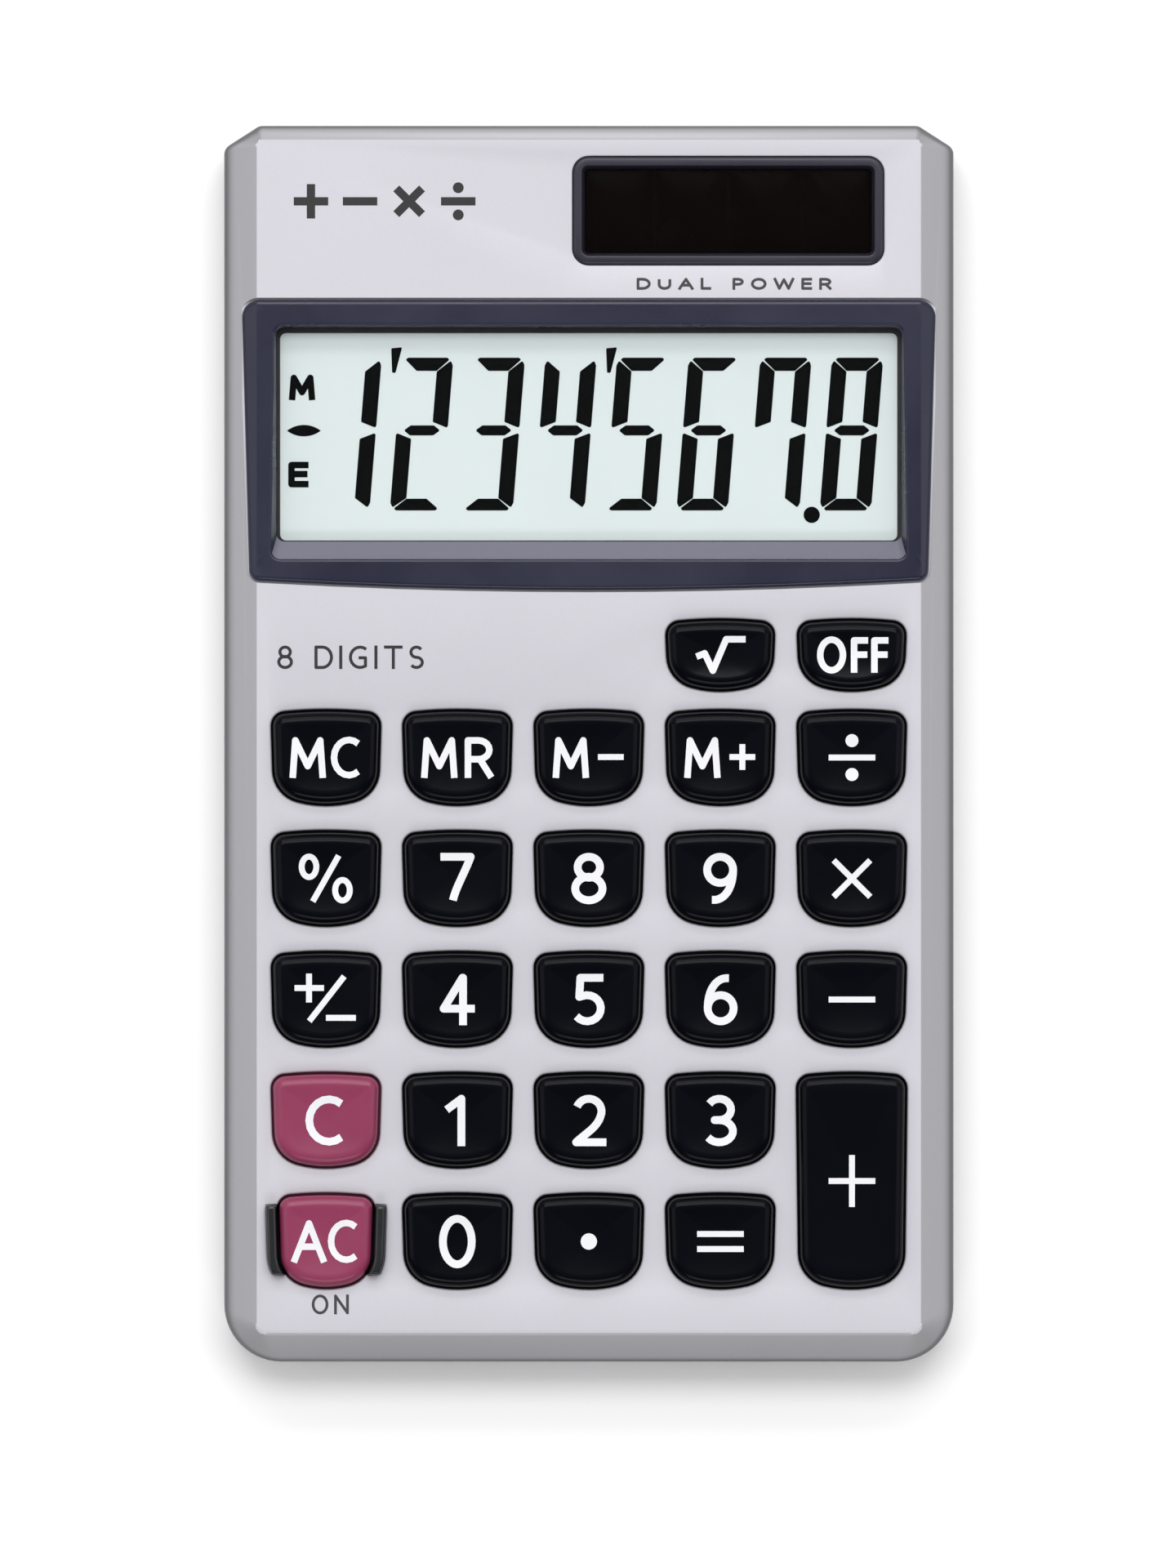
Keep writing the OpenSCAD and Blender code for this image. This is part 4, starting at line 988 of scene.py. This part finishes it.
def make_display_bezel():
    steps = 10
    outline = ring(bezel_outline, steps)
    top_z, low_z, end_z = bezel_high[2], POCKET_Z, bezel_low[2]
    x0, y0 = window_outline[0][:2]
    x1, y1 = window_outline[2][:2]
    slope_y = y0 - 1.7
    mouth_r = 0.9
    mouth = [
        (x0 - 0.45, slope_y, mouth_r),
        (x1 + 0.45, slope_y, mouth_r),
        (x1 + 0.12, y1 + 0.12, mouth_r),
        (x0 - 0.12, y1 + 0.12, mouth_r),
    ]
    skin = Skin()
    # A flat margin keeps each rounding's shading off the face.
    outer_round, mouth_round, margin = 0.4, 0.25, 0.08
    outer = [at_z(outline, low_z)]
    outer += eased_rim(lambda g: ring(grown(bezel_outline, g), steps), outer_round, top_z, 6)
    outer.append(at_z(ring(grown(bezel_outline, -outer_round - margin), steps), top_z))
    first, face_edge = skin.loft(outer)
    collar = ring(grown(window_outline, LENS_MARGIN))
    inner = [at_z(ring(grown(mouth, mouth_round + margin)), top_z)]
    inner += eased_mouth(lambda g: ring(grown(mouth, g)), mouth_round, top_z, 6)
    sight = ring(window_outline)
    # The slope below the window runs straight from the mouth to the window's edge.
    inner.append(at_z(sight, end_z + 0.12))
    inner += [at_z(sight, end_z), at_z(collar, end_z), at_z(collar, low_z)]
    mouth_edge, collar_edge = skin.loft(inner)
    skin.plane(first, [collar_edge])
    # The top face bends down over the side bevels, so it has its own points along the crease.
    edge = np.array([skin.verts[n][:2] for n in face_edge])
    rows = []
    for side in (-1, 1):
        half = edge[edge[:, 0] * side > CREASE_X - 3]
        upper, lower = half[half[:, 1] > 20], half[half[:, 1] < 20]
        for x in (CREASE_X - 0.6, CREASE_X - 0.1, CREASE_X + 0.03, CREASE_X + 0.15, CREASE_X + 0.5):
            low_y, high_y = (
                np.interp(x, *np.array(sorted((side * p[0], p[1]) for p in part)).T) for part in (lower, upper)
            )
            rows += [(side * x, y, top_z) for y in np.linspace(low_y + 0.04, high_y - 0.04, 24)]
    skin.plane(face_edge, [mouth_edge], skin.add(rows))
    for point in skin.verts:
        if point[2] > low_z:
            point[2] -= side_drop(point[0]) * (point[2] - low_z) / (top_z - low_z)
    piece = skin.piece("display_bezel_frame", "navy_plastic", "case", smooth=32)
    # The slope below the window has a paler coat: a painted highlight for the light it catches from behind.
    piece.data.materials.append(MADE["slope_painted_highlight"])
    for face in piece.data.polygons:
        y, z = face.center.y / MM, face.center.z / MM
        on_highlight_slope = slope_y < y < y0 and end_z < z < top_z - 0.2 and face.normal.y > 0.3
        face.material_index = 1 if on_highlight_slope else 0
    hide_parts("display_bezel")


make_display_bezel()

# A black border lies behind the window, wider along its upper edge: a border that also paints in the reveal's shade,
# darkest under the top.
border_inner = ring(
    rectangle(sight_low[0] + 0.35, sight_low[1] + 0.12, sight_high[0] - 0.38, sight_high[1] - 0.5, 0.6)
)
border_outer = ring(grown(window_outline, 0.9))
z0, z1 = lens_low[2] - 0.05, lens_low[2] - 0.015
rings = [at_z(border_inner, z0), at_z(border_outer, z0), at_z(border_outer, z1), at_z(border_inner, z1)]
border = frame_loft("display_window_border_shade", rings, "ink_black", "case", smooth=30)

# ---- solar cell and its bezel ----

top_z = solar_high[2]
rim, inner_round = ring(grown(solar_outline, -1.1)), 0.14
rings = [at_z(ring(solar_outline), POCKET_Z)]
rings += eased_rim(lambda g: ring(grown(solar_outline, g)), 0.3, top_z, 6)
rings += eased_mouth(lambda g: ring(grown(solar_outline, g - 0.72 - inner_round)), inner_round, top_z, 6)
rings += [at_z(rim, POCKET_Z + 0.12), at_z(rim, POCKET_Z)]
piece = frame_loft("solar_bezel_frame", rings, "smoke_plastic", "case", smooth=32)
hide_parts("solar_bezel")


def slab_piece(name, outline, z0, z1, rounding, material):
    """A flat plate with a rounded upper edge."""
    rim = eased_rim(lambda g: ring(grown(outline, g), 4), rounding, z1, 4)
    return closed_loft(name, [at_z(ring(outline, 4), z0), *rim], material, "case")


cell_low, cell_high = box_mm("solar_cell")
outline = rectangle(*cell_low[:2], *cell_high[:2], 0.4)
base = slab_piece("solar_cell_glass", outline, cell_low[2], cell_high[2] - 0.1, 0.05, "solar_line")
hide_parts("solar_cell")
STRIPS, STRIP_GAP = 4, 0.25
END_MARGIN, SIDE_MARGIN = 0.4, 0.35
strip_pitch = (cell_high[0] - cell_low[0] - 2 * END_MARGIN + STRIP_GAP) / STRIPS
for n in range(STRIPS):
    x = cell_low[0] + END_MARGIN + n * strip_pitch
    y0, y1 = cell_low[1] + SIDE_MARGIN, cell_high[1] - SIDE_MARGIN
    z0, z1 = cell_high[2] - 0.12, cell_high[2] - 0.02
    outline = rectangle(x, y0, x + strip_pitch - STRIP_GAP, y1, 0.15)
    strip = slab_piece(f"solar_cell_strip_{n + 1}", outline, z0, z1, 0.03, "solar_glass")
    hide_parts("solar_cell")

# ---- liquid-crystal display ----

LCD_TOP_Z = box_mm("lcd_front_glass")[1][2]
DIGIT_W, DIGIT_H = 4.93, 14.65
DIGIT_TOP_Y = 37.05
DIGIT_PITCH = 6.87
LEAN = 0.0803
BAR = 1.5
SHOWN = ("bc", "abged", "abgcd", "fgbc", "afgcd", "afgedc", "fabc", "abcdefg")


def digit_parts():
    """The seven bars of a digit, upright, from its lower left corner."""
    w, h, t = DIGIT_W, DIGIT_H, BAR
    middle = h * 0.524
    cut, joint = 0.06, 0.26
    low_t, top_t = 1.13, 1.27
    upper = [
        (w - t, middle + joint + 0.55),
        (w - 0.1, middle + joint),
        (w, middle + joint + 0.2),
        (w, h - 0.75),
        (w - 0.22, h - 0.28),
        (w - t, h - top_t - cut),
    ]
    lower = [
        (w - t, middle - joint - 0.55),
        (w - t, low_t + cut),
        (w - 0.22, 0.28),
        (w, 0.75),
        (w, middle - joint - 0.2),
        (w - 0.1, middle - joint),
    ]

    def mirrored(part):
        return [(w - x, y) for x, y in part][::-1]

    return {
        "a": [(0.6, h), (0.34, h - 0.18), (t, h - top_t), (w - t, h - top_t), (w - 0.34, h - 0.18), (w - 0.6, h)],
        "b": upper,
        "c": lower[::-1],
        "d": [(0.6, 0), (w - 0.6, 0), (w - 0.34, 0.18), (w - t, low_t), (t, low_t), (0.34, 0.18)],
        "e": mirrored(lower[::-1]),
        "f": mirrored(upper),
        "g": [
            (0.72, middle),
            (1.35, middle - 0.48),
            (w - 1.35, middle - 0.48),
            (w - 0.72, middle),
            (w - 1.35, middle + 0.48),
            (1.35, middle + 0.48),
        ],
    }


def softened(part, r=0.13):
    """A bar's outline with its corners eased."""
    part = np.array(part)
    turn = sum(a[0] * b[1] - a[1] * b[0] for a, b in zip(part, np.roll(part, -1, axis=0)))
    if turn < 0:
        part = part[::-1]
    return ring([(x, y, r) for x, y in part], 3)


def leaning(points, right_x):
    """A digit's points in place: leaning, with its upper right corner at right_x."""
    low_y = DIGIT_TOP_Y - DIGIT_H
    return np.array([(right_x - DIGIT_W + x + (y - DIGIT_H) * LEAN, low_y + y) for x, y in points])


def make_display_marks():
    parts = digit_parts()
    right = 28.24
    for place, shown in enumerate(SHOWN):
        x = right - DIGIT_PITCH * (len(SHOWN) - 1 - place)
        shapes = [leaning(softened(parts[bar]), x) for bar in shown]
        if place in (0, 3):
            # The mark between thousands.
            wedge = [(0.98, -1.45), (1.32, -1.45), (1.95, 1.0), (0.9, 0.9)]
            shapes.append(ring([(x + dx, DIGIT_TOP_Y + dy, 0.1) for dx, dy in wedge], 3))
        if place == 6:
            # The decimal point.
            shapes.append(disc(21.37, 21.98, 0.78))
        marks_on_display(f"lcd_digit_{place + 1}", shapes)
    marks_on_display("lcd_memory_mark", glyph("M", -27.5, 34.2, 2.5, 2.45, 0.62))
    marks_on_display("lcd_error_mark", glyph("E", -27.85, 25.84, 1.95, 2.45, 0.62))
    lens = arc(-27.32, 27.94, 2.66, 2.66, 52.5, 127.5, 12) + arc(-27.32, 32.16, 2.66, 2.66, 232.5, 307.5, 12)
    marks_on_display("lcd_minus_mark", [np.array(lens)])


def marks_on_display(name, shapes):
    piece = print_on(name, shapes, flat_at(LCD_TOP_Z), "liquid_crystal", "case", proud=0.028, sunk=-0.004)


make_display_marks()
film_low, film_high = box_mm("lcd_polariser")
outline = rectangle(*film_low[:2], *film_high[:2], 0.3)
film = slab_piece("lcd_polariser_film", outline, LCD_TOP_Z + 0.04, film_high[2] - 0.01, 0.02, "polariser_film")
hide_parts("lcd_polariser")

# ---- print on the face ----

# Plain arithmetic signs: plus, minus, the two strokes of times, and divide with its dots.
SIGN_LINES = [
    zigzag((-27.85, 51.95), (-25.35, 51.95)) + zigzag((-26.6, 53.2), (-26.6, 50.7)),
    zigzag((-23.15, 51.95), (-20.65, 51.95)),
    zigzag((-18.15, 52.9), (-16.25, 51.0)),
    zigzag((-18.15, 51.0), (-16.25, 52.9)),
    zigzag((-13.75, 51.95), (-11.25, 51.95)),
]
SIGN_DOTS = [disc(-12.5, y, 0.52) for y in (53.25, 50.65)]
FACE_PRINT = {
    "print_symbols": ([s for sign in SIGN_LINES for s in strokes(sign, 0.8)] + SIGN_DOTS, "ink_black"),
    "print_digits": (word("8 DIGITS", -22.8, 8.3, 2.25, 0.3, 1.0, 0.26), "ink_black"),
    "print_power": (word("DUAL POWER", 13.9, 44.05, 1.15, 0.27, 1.62, 0.36), "ink_grey"),
    "print_on": (word("ON", -24.75, -53.65, 1.9, 0.27, 0.95, 0.3), "ink_grey"),
}
for name, (shapes, material) in FACE_PRINT.items():
    piece = print_on(name, shapes, flat_at(FACE_Z), material, "case", proud=0.012, sunk=0.03)

# ---- rubber keypad: a sheet, and a dome with its pill for each key ----

sheet_low, sheet_high = box_mm("rubber_keypad")
SHEET_T = 0.5
DOME_R = 3.6

# The posts that the two shells' screws and the board's screws go into.
CASE_SCREWS = [(side * x, y) for side in (-1, 1) for x, y in ((31, 54.5), (30.8, 14.4), (29.8, -54.6))]
COLUMN, ROW, FIRST_ROW_Y = 12.58, 11.57, -1.29
BOARD_PLACES = [(-1.5, 0.47), (1.5, 0.47), (-1.5, 2.47), (1.5, 2.47), (-0.5, 3.47), (0.5, 3.47)]
BOARD_SCREWS = [(x * COLUMN, FIRST_ROW_Y - row * ROW) for x, row in BOARD_PLACES] + [(-0.5 * COLUMN, 8)]
CASE_POST_R, CASE_BORE_R = 1.8, 1.0
BOARD_POST_R, BOARD_BORE_R = 1.6, 0.7


def circle(x, y, r, z, steps=36):
    return at_z(disc(x, y, r, steps), z)


def make_posts():
    skin = Skin()
    root_z, bore_z, ease = PLATE_Z + 0.05, PLATE_Z - 0.3, 0.1
    for places, r, bore, low_z in (
        (CASE_SCREWS, CASE_POST_R, CASE_BORE_R, PARTING_Z),
        (BOARD_SCREWS, BOARD_POST_R, BOARD_BORE_R, sheet_low[2]),
    ):
        profile = [(r, root_z), (r, low_z + ease), (r - ease, low_z)]
        profile += [(bore + ease, low_z), (bore, low_z + ease), (bore, bore_z)]
        for x, y in places:
            first, last = skin.loft([circle(x, y, radius, z) for radius, z in profile])
            skin.cap(first, (x, y, root_z))
            skin.cap(last, (x, y, bore_z))
    posts = skin.piece("front_case_posts", "silver_plastic", "case", smooth=40)
    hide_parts("front_case")


make_posts()


def make_sheet():
    skin = Skin()
    outline = [
        (sheet_low[0], sheet_low[1], 0.8),
        (sheet_high[0], sheet_low[1], 0.8),
        (sheet_high[0], sheet_high[1], 0.8),
        (6, sheet_high[1], 0.8),
        (6, 10.2, 0.5),
        (sheet_low[0], 10.2, 0.8),
    ]
    z0, z1 = sheet_low[2], sheet_low[2] + SHEET_T
    edge, ease = ring(outline), 0.04
    low, high = skin.loft([at_z(edge, z0), at_z(edge, z1 - ease), at_z(ring(grown(outline, -ease)), z1)])
    holes = [(*key_place(key)[0], DOME_R) for key in KEYS]
    holes += [(x, y, BOARD_POST_R + 0.3) for x, y in BOARD_SCREWS]
    pairs = [skin.loft([circle(x, y, r, z) for z in (z0, z1)]) for x, y, r in holes]
    skin.plane(low, [p[0] for p in pairs])
    skin.plane(high, [p[1] for p in pairs])
    sheet = skin.piece("keypad_sheet", "keypad_rubber", "case")
    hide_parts("rubber_keypad")


make_sheet()
for key in KEYS:
    (x, y), _, _ = key_place(key)
    z = sheet_low[2]
    profile = [
        (DOME_R - 0.5, z),
        (DOME_R, z),
        (DOME_R, z + SHEET_T),
        (DOME_R - 0.35, z + SHEET_T + 0.08),
        (2.25, z + SHEET_T + 0.7),
        (2.02, z + SHEET_T + 0.95),
        (1.98, sheet_high[2] - 0.12),
        (1.86, sheet_high[2]),
    ]
    inner = [(1.65, z + 1.2), (1.65, z + 0.95), (DOME_R - 0.5, z + 0.3)]
    skin = Skin()
    first, last = skin.loft([circle(x, y, r, h) for r, h in profile])
    skin.cap(last, (x, y, sheet_high[2]))
    low, end = skin.loft([circle(x, y, r, h) for r, h in inner])
    skin.join(end, first)
    skin.cap(low, (x, y, z + 1.2))
    dome = skin.piece(f"dome_{key}", "keypad_rubber", "case")
    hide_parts("rubber_keypad")
    rings = [circle(x, y, r, h) for r, h in ((1.42, z + 1.0), (1.5, z + 1.06), (1.5, z + 1.2))]
    pill = closed_loft(f"pill_{key}", rings, "carbon_rubber", "case")
    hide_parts("carbon_pills")
    for soft in (dome, pill):
        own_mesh(soft)

# ---- floor, light and camera ----


def stage_plane(size):
    mesh = bpy.data.meshes.new("floor")
    h = size / 2
    mesh.from_pydata([(-h, -h, 0), (h, -h, 0), (h, h, 0), (-h, h, 0)], [], [(0, 1, 2, 3)])
    floor = bpy.data.objects.new("floor", mesh)
    bpy.context.scene.collection.objects.link(floor)
    material = bpy.data.materials.new("floor")
    material.use_nodes = True
    shader = material.node_tree.nodes["Principled BSDF"]
    shader.inputs["Base Color"].default_value = (0.97, 0.97, 0.97, 1)
    shader.inputs["Roughness"].default_value = 0.9
    shader.inputs["Specular IOR Level"].default_value = 0.1
    mesh.materials.append(material)


stage_plane(6)


def area_light(name, place, size, watts):
    """A rectangular light that points at the origin."""
    light = bpy.data.lights.new(name, "AREA")
    light.shape = "RECTANGLE"
    light.size, light.size_y = size
    light.energy = watts
    lamp = bpy.data.objects.new(name, light)
    lamp.location = place
    lamp.rotation_euler = (-Vector(place)).to_track_quat("-Z", "Y").to_euler()
    bpy.context.scene.collection.objects.link(lamp)


area_light("key_light", (0, 0.6, 1.2), (1.2, 0.5), 7.8)
area_light("back_light", (0, 1.3, 1.05), (1.6, 0.3), 7.0)
area_light("left_light", (-1.05, 0.0, 0.9), (0.6, 1.1), 1.9)
area_light("right_light", (1.05, 0.0, 0.9), (0.6, 1.1), 1.9)
area_light("low_light", (0, -1.05, 0.9), (1.0, 0.4), 4.2)

# The sky is brighter behind the object than in front of it.
world = bpy.data.worlds.new("studio")
world.use_nodes = True
sky = world.node_tree
background = sky.nodes["Background"]
direction = add_node(sky, "TexCoord")
parts = add_node(sky, "SeparateXYZ", Vector=direction.outputs["Generated"])
SKY_RANGE = {"From Min": -0.5, "From Max": 0.7, "To Min": 0.2, "To Max": 0.75}
glow = add_node(sky, "MapRange", SKY_RANGE, Value=parts.outputs["Y"])
sky.links.new(glow.outputs["Result"], background.inputs["Strength"])
background.inputs["Color"].default_value = (1, 1, 1, 1)
bpy.context.scene.world = world
bpy.context.scene.view_settings.view_transform = "Standard"

camera_data = bpy.data.cameras.new("camera")
camera = bpy.data.objects.new("camera", camera_data)
bpy.context.scene.collection.objects.link(camera)
CAMERA_Z = 1.1
VIEW_HEIGHT = 0.1501
camera.location = (-0.08 * MM, -3.83 * MM, CAMERA_Z)
camera_data.sensor_fit = "VERTICAL"
camera_data.angle_y = 2 * math.atan(VIEW_HEIGHT / 2 / (CAMERA_Z - FACE_Z * MM))
bpy.context.scene.camera = camera
